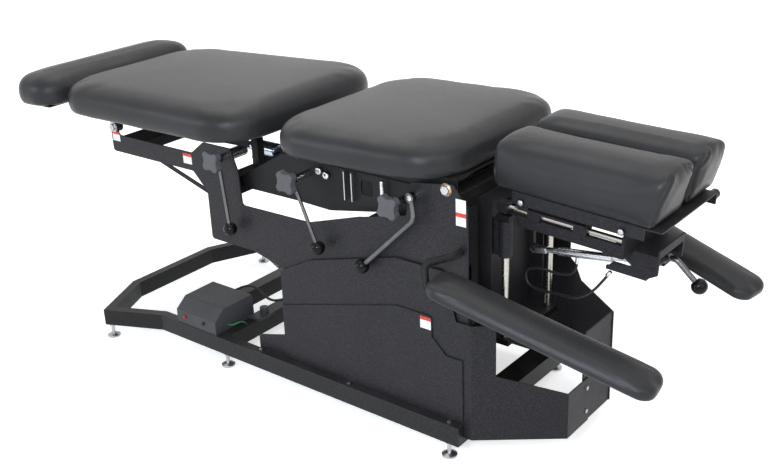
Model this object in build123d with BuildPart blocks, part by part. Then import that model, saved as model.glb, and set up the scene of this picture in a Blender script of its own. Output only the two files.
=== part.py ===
from build123d import *
from math import atan2, cos, hypot, pi, radians, sin, tan
import os

os.makedirs("parts", exist_ok=True)

# Overall stance. +X points to the head end, the near side is -Y, the floor is Z = 0.
floor_clearance = 39.0
rail_height = 46.0
rail_width = 25.0
frame_outer_half = 250.0
rail_head_end = 521.0
frame_kink_x = -471.0
frame_corner_x = -634.0
frame_corner_half = 322.0
frame_foot_end = 713.5
frame_foot_half = 150.0
cross_member_width = 40.0
pack_cross_x = -244.0
pack_foot_cross_x = -390.0
column_x = 290.0

# Sheet metal
sheet_thickness = 3.0
plate_thickness = 4.0
plate_gap = 3.0
overrun = 20.0
running_gap = 0.3
screw_gap = 0.05

# Levelling feet
foot_pad_radius = 18.0
foot_pad_height = 9.0
foot_stud_radius = 5.0
foot_nut_radius = 9.0
foot_nut_height = 6.0
foot_end_foot_x = -625.0
foot_end_foot_y = 305.0
middle_foot_x = -230.0
head_foot_x = 488.0

# Base side sheets
sheet_foot_x = -15.0
sheet_tab_x = -110.0
sheet_tab_height = 40.0
sheet_tab_rise = 27.0
sheet_screw_pitch = 293.5
sheet_screw_middle_x = 195.0
sheet_foot_top = 328.0
sheet_mid_x = 85.0
sheet_mid_top = 381.0
sheet_head_x = 342.0
sheet_head_top = 452.0
sheet_drop_x = 470.0
sheet_drop_end_x = 504.0
sheet_nose_top = 340.0
nose_bend_x = 542.0
nose_end_x = 711.0
nose_end_half = 100.0
nose_bottom = 54.0
notch_x = 585.0
notch_z = 216.0
nose_lip_z = 168.0
far_chamfer_x = 456.0
far_nose_x = 571.0
far_nose_z = 286.0
end_flange_near = 95.0
end_flange_far = 130.0
cover_top = 336.0
cover_low = 250.0
cover_foot_rise = 99.0
cover_step_x = 440.0
cover_toe_x = 478.0

# Elevating side plates
lift_travel_down = 120.0
upper_foot_x = -616.0
upper_arm_top = 579.0
upper_arm_low = 531.0
upper_leg_foot_x = -256.0
upper_leg_head_x = -134.0
upper_riser_head_x = -160.0
upper_riser_top = 614.0
upper_leg_low = 357.0
upper_belly_low = 290.0
window_low = 473.0
window_head_x = 252.0
window_head_z = 526.0
upper_shelf_z = 556.0
upper_ear_foot_x = 388.0
upper_peak = 650.0
upper_head_x = 531.0

# Inner mechanism plates
mechanism_half = 190.0
mechanism_low = 510.0
mechanism_top = 618.0

# Cross tubes of the elevating frame
tube_side = 46.0
foot_channel_x = -537.0
foot_channel_width = 84.0
foot_channel_height = 32.0
foot_channel_top = 577.0
pelvic_tube_x = -188.0
pelvic_tube_z = 509.0
centre_tube_z = 509.0
head_tube_x = 462.0
head_tube_z = 592.0
head_tube_side = 44.0
head_tube_low_z = 320.0

# Lift column and actuator
barrel_stop = 5.0
outer_column_side = 124.0
outer_column_wall = 6.0
outer_column_top = 325.0
inner_column_wall = 5.0
column_clearance = 1.0
barrel_radius = 30.0
barrel_wall = 6.0
barrel_top = 318.0
actuator_rod_radius = 15.0
actuator_clearance = 0.1

# Sections and cushions
section_pitch = 1.6
leg_foot_x = -800.0
leg_head_x = -74.0
leg_foot_half = 264.0
leg_head_half = 288.0
leg_height = 634.0
thoracic_foot_x = -6.0
thoracic_head_x = 493.0
thoracic_foot_half = 270.0
thoracic_head_half = 262.0
thoracic_height = 649.0
ankle_foot_x = -981.0
ankle_head_x = -806.0
ankle_half = 283.0
ankle_height = 628.0
leg_cushion_thickness = 84.0
thoracic_cushion_thickness = 79.0
ankle_cushion_thickness = 78.0
cushion_corner = 112.0
ankle_corner = 58.0
cushion_crown = 7.0
cushion_tuck = 9.0
pan_thickness = 3.0
pan_flange_depth = 22.0
pan_half = 205.0
pan_inset = 36.0
pivot_radius = 6.0
pivot_ear_radius = 15.0
leg_pivot_x = -603.0
leg_pivot_z = 599.0
thoracic_pivot_x = 480.0
thoracic_pivot_z = 637.0
bolt_head_radius = 10.0
bolt_head_height = 6.0
washer_radius = 14.0
washer_thickness = 2.0

# Ankle rest slide
ankle_tube_radius = 12.5
ankle_tube_spacing = 180.0
ankle_tube_length = 440.0
ankle_travel = 100.0
sleeve_wall = 3.0
sleeve_length = 90.0

# Cocking levers and tension knobs
lever_y = -250.0
lever_radius = 4.2
lever_hub_radius = 11.0
lever_hub_length = 12.0
ball_radius = 17.0
star_core_radius = 21.0
star_lobe_radius = 10.0
star_lobe_place = 20.0
star_web_radius = 7.0
star_edge = 3.0
star_neck_radius = 13.0
star_neck_length = 5.0
star_thickness = 18.0
star_clearance = 1.0
star_angle = 40.0
spindle_radius = 6.0
pelvic_knob_x = -173.0
pelvic_knob_z = 594.0
thoracic_knob_x = 70.0
thoracic_knob_z = 588.0
breakaway_knob_x = 364.0
breakaway_knob_z = 590.0
pelvic_ball_x = -155.0
pelvic_ball_z = 415.0
thoracic_ball_x = 135.0
thoracic_ball_z = 434.0
breakaway_hub_x = 408.0
breakaway_hub_z = 614.0
breakaway_bend_x = 416.0
breakaway_bend_z = 566.0
breakaway_ball_x = 266.0
breakaway_ball_z = 421.0
breakaway_rod_radius = 6.0
breakaway_bend_radius = 24.0

# Air canister on its shelf
canister_z = 534.0
canister_radius = 21.0
canister_length = 76.0
canister_shelf_length = 84.0
canister_nose = 8.0
canister_fitting_radius = 12.0
canister_fitting_length = 30.0

# Head column
column_plate_half = 112.0
column_plate_low = 262.0
column_plate_top = 586.0
column_flange_depth = 31.0
guide_x = 544.0
guide_half_spacing = 95.0
guide_tube_radius = 14.5
guide_tube_low = 456.0
guide_tube_top = 540.0
guide_rod_radius = 8.0
guide_rod_low = 258.0
guide_clearance = 0.05
tie_block_height = 14.0
tie_block_depth = 34.0
saddle_height = 12.0
saddle_gap = 3.0
guide_web = 8.0
lug_spacing = 142.0
lug_thickness = 10.0
lug_radius = 13.0
stem_thickness = 10.0
stem_half = 12.0
head_rise = 90.0

# Head frame, laid out along its own pitched plane from the tilt pivot
head_pitch = 3.4
tilt_pivot_z = 574.0
slide_rod_radius = 6.0
slide_rod_half_spacing = 100.0
slide_rod_start = -16.0
tilt_bar_top = -10.0
tilt_bar_height = 24.0
tilt_bar_thickness = 10.0
tilt_bar_start = 36.0
tilt_bar_end = 275.0
tilt_end_plate = 6.0
rod_block_half = 11.0
pivot_block_half = 12.0
slide_carriage_start = 62.0
slide_carriage_length = 138.0
slide_block_half = 12.0
slide_block_length = 30.0
slide_block_low = -9.4
slide_block_top = 13.0
slide_plate_half = 124.0
slide_lug_radius = 12.0
slide_stop_top = 47.0
slide_travel = 55.0
cervical_pan_top = 54.0
cervical_pan_start = 34.0
cervical_pan_length = 332.0
cervical_flange_length = 296.0
cervical_pan_half = 131.0
cervical_flange_depth = 27.0
cervical_pivot_x = 58.0
cervical_pivot_drop = 19.0
hanger_half = 60.0
hanger_cheek = 5.0
hanger_top_start = 236.0
hanger_top_end = 338.0
hanger_shelf_foot = 226.0
hanger_shelf_head = 316.0
hanger_shelf_z = -88.0
hanger_shelf_width = 36.0
hanger_shaft_x = 318.5
hanger_shaft_z = -67.2
hanger_lip = 18.0
lever_shaft_radius = 7.0
head_lever_y = 20.0
head_lever_hub_radius = 12.0
head_lever_hub_length = 15.0
head_lever_bend_x = 883.0
head_lever_bend_z = 487.0
head_ball_x = 934.0
head_ball_z = 441.0
head_lever_bend_radius = 14.0
pillow_knob_x = 354.0
pillow_knob_z = 41.0
pillow_knob_radius = 11.0
pillow_knob_length = 20.0
pillow_knob_stud = 4.0
pillow_lug_width = 24.0

# Pillows
pillow_start = -14.0
pillow_length = 385.0
pillow_outer = 154.0
pillow_inner = 9.0
pillow_thickness = 112.0
pillow_rise = 12.0
pillow_tuck = 9.0
pillow_belly = 52.0
pillow_lean = 5.0
pillow_shoulder_drop = 5.0
pillow_crown_y = 86.0
pillow_crown = 2.0
pillow_slot_y = 18.0
pillow_slot_drop = 14.0
pillow_undercut = 22.0
pillow_edge = 12.0
pillow_edge_angles = (0.0, 25.0, 55.0, 90.0)
pillow_radii = (12.0, 18.0, 80.0, 34.0, 200.0, 12.0, 12.0)
pillow_spread = 25.0

# Tilt lock
lock_foot_x = 560.0
lock_foot_z = 443.0
lock_eye_x = 832.0
lock_eye_z = 477.0
lock_pin_radius = 4.0
lock_eye_bore = 7.3
lock_eye_radius = 10.5
lock_eye_width = 12.0
lock_fork_plate = 3.5
lock_fork_length = 32.0
lock_neck_radius = 6.5
lock_neck_start = 26.0
lock_barrel_start = 62.0
lock_barrel_radius = 9.5
lock_rod_radius = 5.0
lock_rod_start = 96.0
lock_barrel_length = 130.0
lock_fitting_place = 110.0
lock_fitting_radius = 5.0
lock_fitting_length = 17.0

# Armrests
armrest_length = 494.0
armrest_width = 102.0
armrest_thickness = 36.0
armrest_foot_x = 515.0
armrest_foot_y = 319.6
armrest_foot_z = 500.0
armrest_corner = 34.0
armrest_crown = 4.0
armrest_plate_half = 30.0
armrest_plate_inset = 36.0
armrest_tube_bend = 18.0
armrest_tube_inner_y = 206.0
armrest_tube_out_y = 248.0
armrest_elbow_x = 479.0
armrest_elbow_y = 305.0
armrest_elbow_z = 500.0
armrest_tube_run = 90.0
armrest_slope = 15.6
armrest_toe_in = 9.0
armrest_tube_radius = 8.5
armrest_pivot_x = 514.0
armrest_pivot_z = 505.0

# Power pack
pack_foot_x = -404.0
pack_head_x = -254.0
pack_inner_y = -105.0
pack_outer_y = -248.0
pack_shoulder_y = -213.0
pack_top = 150.0
pack_shoulder_z = 123.0
pack_lid_low = 92.0
pack_wall = 3.0
pack_corner = 6.0
cap_radius = 12.0
cap_height = 16.0
cap_y = -85.0
cap_boss = 40.0
cap_boss_length = 60.0

# Cords: the lock's release cable on the centre line, the pack's supply cable and its earth wire
cable_radius = 3.0
cable_bends = (
    (664.0, 0.0, 407.0),
    (621.0, 0.0, 394.0),
    (575.0, 0.0, 401.0),
    (536.0, 0.0, 386.0),
    (541.0, 0.0, 350.0),
    (582.0, -6.0, 347.0),
    (636.0, -24.0, 360.0),
    (688.0, -44.0, 371.0),
    (728.0, -48.0, 398.0),
    (752.0, -47.0, 430.0),
)
cable_anchor_y = -46.0
cable_end_gap = 8.0
supply_radius = 3.5
supply_bends = (
    (-349.0, -76.0, 126.0),
    (-325.0, -59.0, 138.0),
    (-284.0, -62.0, 149.0),
    (-222.0, -72.0, 122.0),
    (-164.0, -70.0, 146.0),
    (-106.0, -60.0, 150.0),
    (-46.0, -46.0, 128.0),
    (16.0, -32.0, 112.0),
    (72.0, -20.0, 110.0),
    (122.0, -8.0, 122.0),
    (172.0, 0.0, 150.0),
)
supply_start_x = -349.0
wire_radius = 1.75
wire_start = (-254.0, -203.0, 100.0)
wire_bends = (
    (-239.0, -203.0, 100.0),
    (-231.0, -187.0, 106.0),
    (-230.0, -166.0, 100.0),
)
wire_end = (-233.0, -155.0, 86.4)

rail_top = floor_clearance + rail_height
sheet_outer_y = frame_outer_half - rail_width + sheet_thickness
sheet_inner_y = frame_outer_half - rail_width
plate_outer_y = sheet_inner_y - plate_gap
plate_inner_y = plate_outer_y - plate_thickness


def save(builder, label):
    """Label a finished piece and write it as one STEP file."""
    builder.part.label = label
    export_step(builder.part, "parts/" + label + ".step")


def pitched(x, z, angle):
    """A plane at (x, z) on the centre line, its own X raised by angle towards the head end."""
    turn = radians(angle)
    return Plane(origin=(x, 0, z), x_dir=(cos(turn), 0, sin(turn)), z_dir=(-sin(turn), 0, cos(turn)))


def side_plane(y):
    """A plane facing the near side at y, with X along the table and Y up."""
    return Plane(origin=(0, y, 0), x_dir=(1, 0, 0), z_dir=(0, -1, 0))


leg_middle = (leg_foot_x + leg_head_x) / 2
thoracic_middle = (thoracic_foot_x + thoracic_head_x) / 2
ankle_middle = (ankle_foot_x + ankle_head_x) / 2
leg_plane = pitched(leg_middle, leg_height, section_pitch)
thoracic_plane = pitched(thoracic_middle, thoracic_height, section_pitch)
ankle_plane = pitched(ankle_middle, ankle_height, section_pitch)
head_plane = pitched(guide_x, tilt_pivot_z, -head_pitch)

# Base frame: one closed rectangular tube with a splayed foot end, and its cross members
frame_outline = (
    (rail_head_end, -frame_outer_half),
    (rail_head_end, frame_outer_half),
    (frame_kink_x, frame_outer_half),
    (frame_corner_x, frame_corner_half),
    (-frame_foot_end, frame_foot_half),
    (-frame_foot_end, -frame_foot_half),
    (frame_corner_x, -frame_corner_half),
    (frame_kink_x, -frame_outer_half),
)
cross_length = 2 * sheet_inner_y
member_places = (pack_foot_cross_x, pack_cross_x, column_x, rail_head_end - cross_member_width)
with BuildPart() as base_frame:
    with BuildSketch(Plane.XY.offset(floor_clearance)):
        with BuildLine():
            Polyline(*frame_outline, close=True)
        make_face()
        offset(amount=-rail_width, kind=Kind.INTERSECTION, mode=Mode.SUBTRACT)
        for member_x in member_places:
            with Locations((member_x, 0)):
                Rectangle(cross_member_width, cross_length)
    extrude(amount=rail_height)
save(base_frame, "base_frame")

# Levelling feet: a turned pad, a stud and a lock nut under each corner of the frame
foot_places = (
    (foot_end_foot_x, -foot_end_foot_y),
    (foot_end_foot_x, foot_end_foot_y),
    (middle_foot_x, -frame_outer_half + rail_width / 2),
    (middle_foot_x, frame_outer_half - rail_width / 2),
    (head_foot_x, -frame_outer_half + rail_width / 2),
    (head_foot_x, frame_outer_half - rail_width / 2),
)
with BuildPart() as levelling_feet:
    with BuildSketch(Plane.XZ):
        with BuildLine():
            Polyline(
                (0, 0),
                (foot_pad_radius, 0),
                (foot_pad_radius, foot_pad_height / 2),
                (foot_nut_radius, foot_pad_height),
                (foot_stud_radius, foot_pad_height),
                (foot_stud_radius, floor_clearance),
                (0, floor_clearance),
                close=True,
            )
        make_face()
    revolve(axis=Axis.Z)
    with BuildSketch(Plane.XY.offset(floor_clearance - foot_nut_height)):
        RegularPolygon(foot_nut_radius, 6)
    extrude(amount=foot_nut_height)
foot = levelling_feet.part
with BuildPart() as levelling_feet:
    for foot_x, foot_y in foot_places:
        add(foot.moved(Location((foot_x, foot_y, 0))))
save(levelling_feet, "levelling_feet")

# Side sheets of the base: an upright wall on the rail, a screwed foot flange and a nose bent inwards
nose_run = nose_end_x - nose_bend_x
nose_drop = sheet_outer_y - nose_end_half
nose_length = hypot(nose_run, nose_drop)
near_nose = Plane(
    origin=(nose_bend_x, -sheet_outer_y, 0),
    x_dir=(nose_run / nose_length, nose_drop / nose_length, 0),
    z_dir=(nose_drop / nose_length, -nose_run / nose_length, 0),
)
notch_along = (notch_x - nose_bend_x) * nose_length / nose_run
far_nose_along = (far_nose_x - nose_bend_x) * nose_length / nose_run
far_bend_z = far_nose_z + far_nose_x - nose_bend_x
near_wall = (
    (sheet_tab_x, rail_top),
    (sheet_tab_x, rail_top + sheet_tab_height),
    (sheet_foot_x, rail_top + sheet_tab_height + sheet_tab_rise),
    (sheet_foot_x, sheet_foot_top),
    (sheet_mid_x, sheet_mid_top),
    (sheet_head_x, sheet_head_top),
    (sheet_drop_x, sheet_head_top),
    (sheet_drop_end_x, sheet_nose_top),
    (nose_bend_x, sheet_nose_top),
    (nose_bend_x, nose_bottom),
    (rail_head_end, nose_bottom),
    (rail_head_end, rail_top),
)
near_nose_outline = (
    (0, nose_bottom),
    (0, sheet_nose_top),
    (notch_along, sheet_nose_top),
    (notch_along, notch_z),
    (nose_length, nose_lip_z),
    (nose_length, nose_bottom),
)
far_wall = near_wall[:5] + (
    (far_chamfer_x, far_bend_z + nose_bend_x - far_chamfer_x),
    (nose_bend_x, far_bend_z),
    (nose_bend_x, nose_bottom),
    (rail_head_end, nose_bottom),
    (rail_head_end, rail_top),
)
far_nose_outline = (
    (0, nose_bottom),
    (0, far_bend_z),
    (far_nose_along, far_nose_z),
    (nose_length, far_nose_z),
    (nose_length, nose_bottom),
)
flange_length = rail_head_end - sheet_tab_x
flange_middle = (rail_head_end + sheet_tab_x) / 2
sheet_screw_count = 3
sheet_screw_radius = 3.0
sheet_screw_y = frame_outer_half - rail_width / 2
notch_fillet = 12.0
end_flange_fillet = 6.0


def side_sheet(wall, nose, end_flange, end_top, end_plane_x):
    """A near side sheet from its wall outline, its nose outline and its end flange."""
    with BuildPart() as sheet:
        with BuildSketch(side_plane(-sheet_inner_y)):
            with BuildLine():
                Polyline(*wall, close=True)
            make_face()
        extrude(amount=sheet_thickness)
        with BuildSketch(near_nose):
            with BuildLine():
                Polyline(*nose, close=True)
            make_face()
        extrude(amount=-sheet_thickness)
        with BuildSketch(Plane.XY.offset(rail_top)):
            with Locations((flange_middle, -sheet_screw_y)):
                Rectangle(flange_length, rail_width)
            with Locations((sheet_screw_middle_x, -sheet_screw_y)):
                with GridLocations(sheet_screw_pitch, 0, sheet_screw_count, 1):
                    Circle(sheet_screw_radius + screw_gap, mode=Mode.SUBTRACT)
        extrude(amount=sheet_thickness)
        with BuildSketch(Plane.YZ.offset(end_plane_x)):
            with BuildLine():
                Polyline(
                    (-nose_end_half, nose_bottom),
                    (-nose_end_half + end_flange, nose_bottom),
                    (-nose_end_half + end_flange, end_top - end_flange_fillet),
                    (-nose_end_half + end_flange - end_flange_fillet, end_top),
                    (-nose_end_half, end_top),
                    close=True,
                )
            make_face()
        extrude(amount=sheet_thickness)
    return sheet


near_end_x = nose_end_x - sheet_thickness
far_end_x = near_end_x - sheet_thickness
near_side_sheet = side_sheet(near_wall, near_nose_outline, end_flange_near, nose_lip_z, near_end_x)
save(near_side_sheet, "near_side_sheet")
far_blank = side_sheet(far_wall, far_nose_outline, end_flange_far, far_nose_z, far_end_x)
with BuildPart() as far_side_sheet:
    mirror(far_blank.part, about=Plane.XZ)
save(far_side_sheet, "far_side_sheet")

# Cover panel screwed over the near side sheet, with a stepped upper edge
cover_y = sheet_outer_y
cover_corner = 10.0
with BuildPart() as near_cover_panel:
    with BuildSketch(side_plane(-cover_y)):
        with BuildLine():
            Polyline(
                (sheet_foot_x, rail_top + sheet_thickness),
                (sheet_foot_x, cover_top - cover_foot_rise),
                (sheet_head_x, cover_top),
                (cover_step_x, cover_top),
                (cover_step_x, cover_top - cover_foot_rise / 2),
                (cover_toe_x, cover_low),
                (rail_head_end, cover_low),
                (rail_head_end, rail_top + sheet_thickness),
                close=True,
            )
        make_face()
        fillet(vertices().group_by(Axis.Y)[-1], radius=cover_corner)
    extrude(amount=sheet_thickness)
save(near_cover_panel, "near_cover_panel")

# Screws of the base: pan heads on the foot flanges and on the nose overlap
screw_head_radius = 5.0
screw_head_height = 3.0
screw_depth = 12.0
nose_screw_y = -18.0
nose_screw_low = 84.0
nose_screw_pitch = 60.0
with BuildPart() as base_screws:
    for side_y in (-sheet_screw_y, sheet_screw_y):
        with BuildSketch(Plane.XY.offset(rail_top + sheet_thickness)):
            with Locations((sheet_screw_middle_x, side_y)):
                with GridLocations(sheet_screw_pitch, 0, sheet_screw_count, 1):
                    Circle(screw_head_radius)
        extrude(amount=screw_head_height)
    with BuildSketch(Plane.YZ.offset(nose_end_x)):
        with Locations((nose_screw_y, nose_screw_low), (nose_screw_y, nose_screw_low + nose_screw_pitch)):
            Circle(screw_head_radius)
    extrude(amount=screw_head_height)
save(base_screws, "base_screws")

# Lift column: an outer square tube on a foot plate, the inner tube that rises with the table
foot_plate_thickness = 8.0
foot_plate_overhang = 18.0
foot_plate_side = outer_column_side + 2 * foot_plate_overhang
outer_bore = outer_column_side - 2 * outer_column_wall
inner_column_side = outer_bore - 2 * column_clearance
inner_bore = inner_column_side - 2 * inner_column_wall
centre_tube_top = centre_tube_z + tube_side / 2
centre_tube_low = centre_tube_z - tube_side / 2
column_fillet = 6.0
inner_column_low = rail_top + foot_plate_thickness + lift_travel_down + barrel_stop
with BuildPart() as outer_column:
    with BuildSketch(Plane.XY.offset(rail_top)):
        with Locations((column_x, 0)):
            Rectangle(foot_plate_side, foot_plate_side)
    extrude(amount=foot_plate_thickness)
    with BuildSketch(Plane.XY.offset(rail_top + foot_plate_thickness)):
        with Locations((column_x, 0)):
            RectangleRounded(outer_column_side, outer_column_side, column_fillet)
            Rectangle(outer_bore, outer_bore, mode=Mode.SUBTRACT)
    extrude(amount=outer_column_top - rail_top - foot_plate_thickness)
save(outer_column, "outer_column")
with BuildPart() as inner_column:
    with BuildSketch(Plane.XY.offset(inner_column_low)):
        with Locations((column_x, 0)):
            Rectangle(inner_column_side, inner_column_side)
            Rectangle(inner_bore, inner_bore, mode=Mode.SUBTRACT)
    extrude(amount=centre_tube_low - inner_column_low)
save(inner_column, "inner_column")

# Lift actuator inside the column
barrel_low = rail_top + foot_plate_thickness
barrel_bore = actuator_rod_radius + actuator_clearance
barrel_floor = 10.0
with BuildPart() as actuator_barrel:
    with BuildSketch(Plane.XZ):
        with BuildLine():
            Polyline(
                (0, barrel_low),
                (barrel_radius, barrel_low),
                (barrel_radius, barrel_top),
                (barrel_bore, barrel_top),
                (barrel_bore, barrel_top - barrel_radius),
                (barrel_radius - barrel_wall, barrel_top - barrel_radius),
                (barrel_radius - barrel_wall, barrel_low + barrel_floor),
                (0, barrel_low + barrel_floor),
                close=True,
            )
        make_face()
    revolve(axis=Axis.Z)
barrel = actuator_barrel.part.moved(Location((column_x, 0, 0)))
with BuildPart() as actuator_barrel:
    add(barrel)
save(actuator_barrel, "actuator_barrel")
rod_low = barrel_low + barrel_floor + lift_travel_down + barrel_stop
with BuildPart() as actuator_rod:
    with BuildSketch(Plane.XY.offset(rod_low)):
        with Locations((column_x, 0)):
            Circle(actuator_rod_radius)
    extrude(amount=centre_tube_low - rod_low)
save(actuator_rod, "actuator_rod")

# Elevating side plates, with the long foot arm, the window edge and the ear at the head hinge
upper_outline = (
    (upper_foot_x, upper_arm_low),
    (upper_leg_foot_x - tube_side, upper_arm_low),
    (upper_leg_foot_x, upper_arm_low - tube_side),
    (upper_leg_foot_x, upper_leg_low),
    (sheet_tab_x, upper_leg_low),
    (sheet_foot_x, upper_belly_low + tube_side),
    (sheet_foot_x + tube_side, upper_belly_low),
    (upper_head_x - tube_side, upper_belly_low),
    (upper_head_x, upper_belly_low + tube_side),
    (upper_head_x, upper_peak - tube_side),
    (thoracic_pivot_x + pivot_ear_radius, upper_peak),
    (upper_ear_foot_x, upper_peak - pivot_ear_radius),
    (upper_ear_foot_x - pivot_ear_radius, upper_shelf_z),
    (window_head_x, window_head_z),
    (window_head_x - pivot_ear_radius, window_head_z - pan_thickness),
    (sheet_mid_x, window_low + pan_thickness),
    (upper_leg_head_x, window_low),
    (upper_riser_head_x + pan_flange_depth, upper_shelf_z),
    (upper_riser_head_x, upper_riser_top),
    (upper_leg_foot_x, upper_riser_top),
    (upper_leg_foot_x - tube_side, upper_arm_top),
    (upper_foot_x + 2 * pivot_ear_radius, upper_arm_top),
    (leg_pivot_x + pivot_ear_radius, upper_riser_top),
    (upper_foot_x, upper_riser_top),
)
upper_fillet = 9.0
pin_bore = pivot_radius + screw_gap
with BuildPart() as near_upper_plate:
    with BuildSketch(side_plane(-plate_inner_y)):
        with BuildLine():
            Polyline(*upper_outline, close=True)
        make_face()
        fillet(vertices(), radius=upper_fillet)
        with Locations((leg_pivot_x, leg_pivot_z), (thoracic_pivot_x, thoracic_pivot_z)):
            Circle(pin_bore, mode=Mode.SUBTRACT)
        with Locations((pelvic_knob_x, pelvic_knob_z), (breakaway_hub_x, breakaway_hub_z)):
            Circle(spindle_radius + screw_gap, mode=Mode.SUBTRACT)
        with Locations((armrest_pivot_x, armrest_pivot_z)):
            Circle(armrest_tube_radius + screw_gap, mode=Mode.SUBTRACT)
    extrude(amount=plate_thickness)
save(near_upper_plate, "near_upper_plate")
with BuildPart() as far_upper_plate:
    mirror(near_upper_plate.part, about=Plane.XZ)
save(far_upper_plate, "far_upper_plate")

# Inner mechanism plates that hang the drop sections' controls between the cross tubes
mechanism_foot = pelvic_tube_x + tube_side / 2
mechanism_head = head_tube_x - head_tube_side / 2
mechanism_belly_x = column_x
mechanism_rise = 34.0
with BuildPart() as mechanism_plates:
    with BuildSketch(side_plane(-mechanism_half)):
        with BuildLine():
            Polyline(
                (mechanism_foot, pelvic_tube_z + tube_side / 2),
                (mechanism_foot, pelvic_tube_z),
                (sheet_foot_x + tube_side, mechanism_low),
                (sheet_mid_x + tube_side, mechanism_low - pan_thickness),
                (column_x - tube_side / 2, centre_tube_top + running_gap),
                (column_x + tube_side / 2, centre_tube_top + running_gap),
                (mechanism_head, upper_shelf_z),
                (mechanism_head, mechanism_top),
                (sheet_foot_x, mechanism_top),
                close=True,
            )
        make_face()
        with Locations(
            (thoracic_knob_x, thoracic_knob_z),
            (breakaway_knob_x, breakaway_knob_z),
            (breakaway_hub_x, breakaway_hub_z),
        ):
            Circle(spindle_radius + screw_gap, mode=Mode.SUBTRACT)
        with Locations((column_x - tube_side, mechanism_top - mechanism_rise)):
            RectangleRounded(mechanism_rise, mechanism_rise, column_fillet, mode=Mode.SUBTRACT)
    extrude(amount=plate_thickness)
    mirror(about=Plane.XZ)
save(mechanism_plates, "mechanism_plates")

# Cross tubes between the two elevating plates
tube_wall = 3.0
tube_length = 2 * plate_inner_y


def cross_tube(x, z, width, height):
    """A closed cross tube centred at (x, z), from one elevating plate to the other."""
    with BuildPart() as tube:
        with BuildSketch(Plane.XZ.offset(plate_inner_y)):
            with Locations((x, z)):
                RectangleRounded(width, height, tube_wall)
                Rectangle(width - 2 * tube_wall, height - 2 * tube_wall, mode=Mode.SUBTRACT)
        extrude(amount=-tube_length)
    return tube


foot_channel_z = foot_channel_top - foot_channel_height / 2
with BuildPart() as cross_tubes:
    add(cross_tube(foot_channel_x, foot_channel_z, foot_channel_width, foot_channel_height).part)
    add(cross_tube(pelvic_tube_x, pelvic_tube_z, tube_side, tube_side).part)
    add(cross_tube(column_x, centre_tube_z, tube_side, tube_side).part)
    add(cross_tube(head_tube_x, head_tube_z, head_tube_side, head_tube_side).part)
    add(cross_tube(head_tube_x, head_tube_low_z, head_tube_side, head_tube_side).part)
save(cross_tubes, "cross_tubes")

# Leg struts: two uprights on the pelvic cross tube with a rubber stop under the leg pan
strut_side = 22.0
strut_spacing = 200.0
strut_top = 604.0
stop_height = 10.0
stop_radius = 9.0
pelvic_tube_top = pelvic_tube_z + tube_side / 2
canister_shelf_head = pelvic_tube_x - tube_side / 2
with BuildPart() as leg_struts:
    with BuildSketch(Plane.XY.offset(pelvic_tube_top)):
        with Locations((pelvic_tube_x, 0)):
            with GridLocations(0, strut_spacing, 1, 2):
                Rectangle(strut_side, strut_side)
    extrude(amount=strut_top - pelvic_tube_top)
    with BuildSketch(Plane.XY.offset(strut_top)):
        with Locations((pelvic_tube_x, 0)):
            with GridLocations(0, strut_spacing, 1, 2):
                Circle(stop_radius)
    extrude(amount=stop_height)
    with BuildSketch(Plane.XY.offset(canister_z - canister_radius)):
        with Locations((canister_shelf_head - canister_shelf_length / 2, 0)):
            Rectangle(canister_shelf_length, 2 * canister_radius)
    extrude(amount=-plate_thickness)
save(leg_struts, "leg_struts")

# Thin stay under the foot arm of the near plate
stay_width = 9.0
stay_thickness = 3.0
stay_foot = (upper_leg_foot_x - 4 * tube_side, upper_arm_low)
stay_head = (upper_leg_foot_x, upper_arm_low - tube_side - stay_width)
with BuildPart() as arm_stay:
    with BuildSketch(side_plane(-plate_inner_y + stay_thickness)):
        with BuildLine():
            Polyline(
                stay_foot,
                stay_head,
                (stay_head[0] + stay_width, stay_head[1]),
                (stay_head[0] + stay_width, stay_head[1] + stay_width),
                (stay_foot[0] + stay_width, stay_foot[1] + stay_width),
                (stay_foot[0], stay_foot[1] + stay_width),
                close=True,
            )
        make_face()
    extrude(amount=stay_thickness)
save(arm_stay, "arm_stay")

# Hinge bolts with washers, one each side for the leg section and the thoracic section
pan_flange_inner = pan_half + running_gap
bolt_length = plate_outer_y + washer_thickness - pan_half + 2 * pan_thickness
with BuildPart() as hinge_bolts:
    for pivot in ((leg_pivot_x, leg_pivot_z), (thoracic_pivot_x, thoracic_pivot_z)):
        with BuildSketch(side_plane(-plate_outer_y - washer_thickness)):
            with Locations(pivot):
                Circle(pivot_radius)
        extrude(amount=-bolt_length)
        with BuildSketch(side_plane(-plate_outer_y)):
            with Locations(pivot):
                Circle(washer_radius)
        extrude(amount=washer_thickness)
        with BuildSketch(side_plane(-plate_outer_y - washer_thickness)):
            with Locations(pivot):
                RegularPolygon(bolt_head_radius, 6)
        extrude(amount=bolt_head_height)
    mirror(about=Plane.XZ)
save(hinge_bolts, "hinge_bolts")


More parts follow.
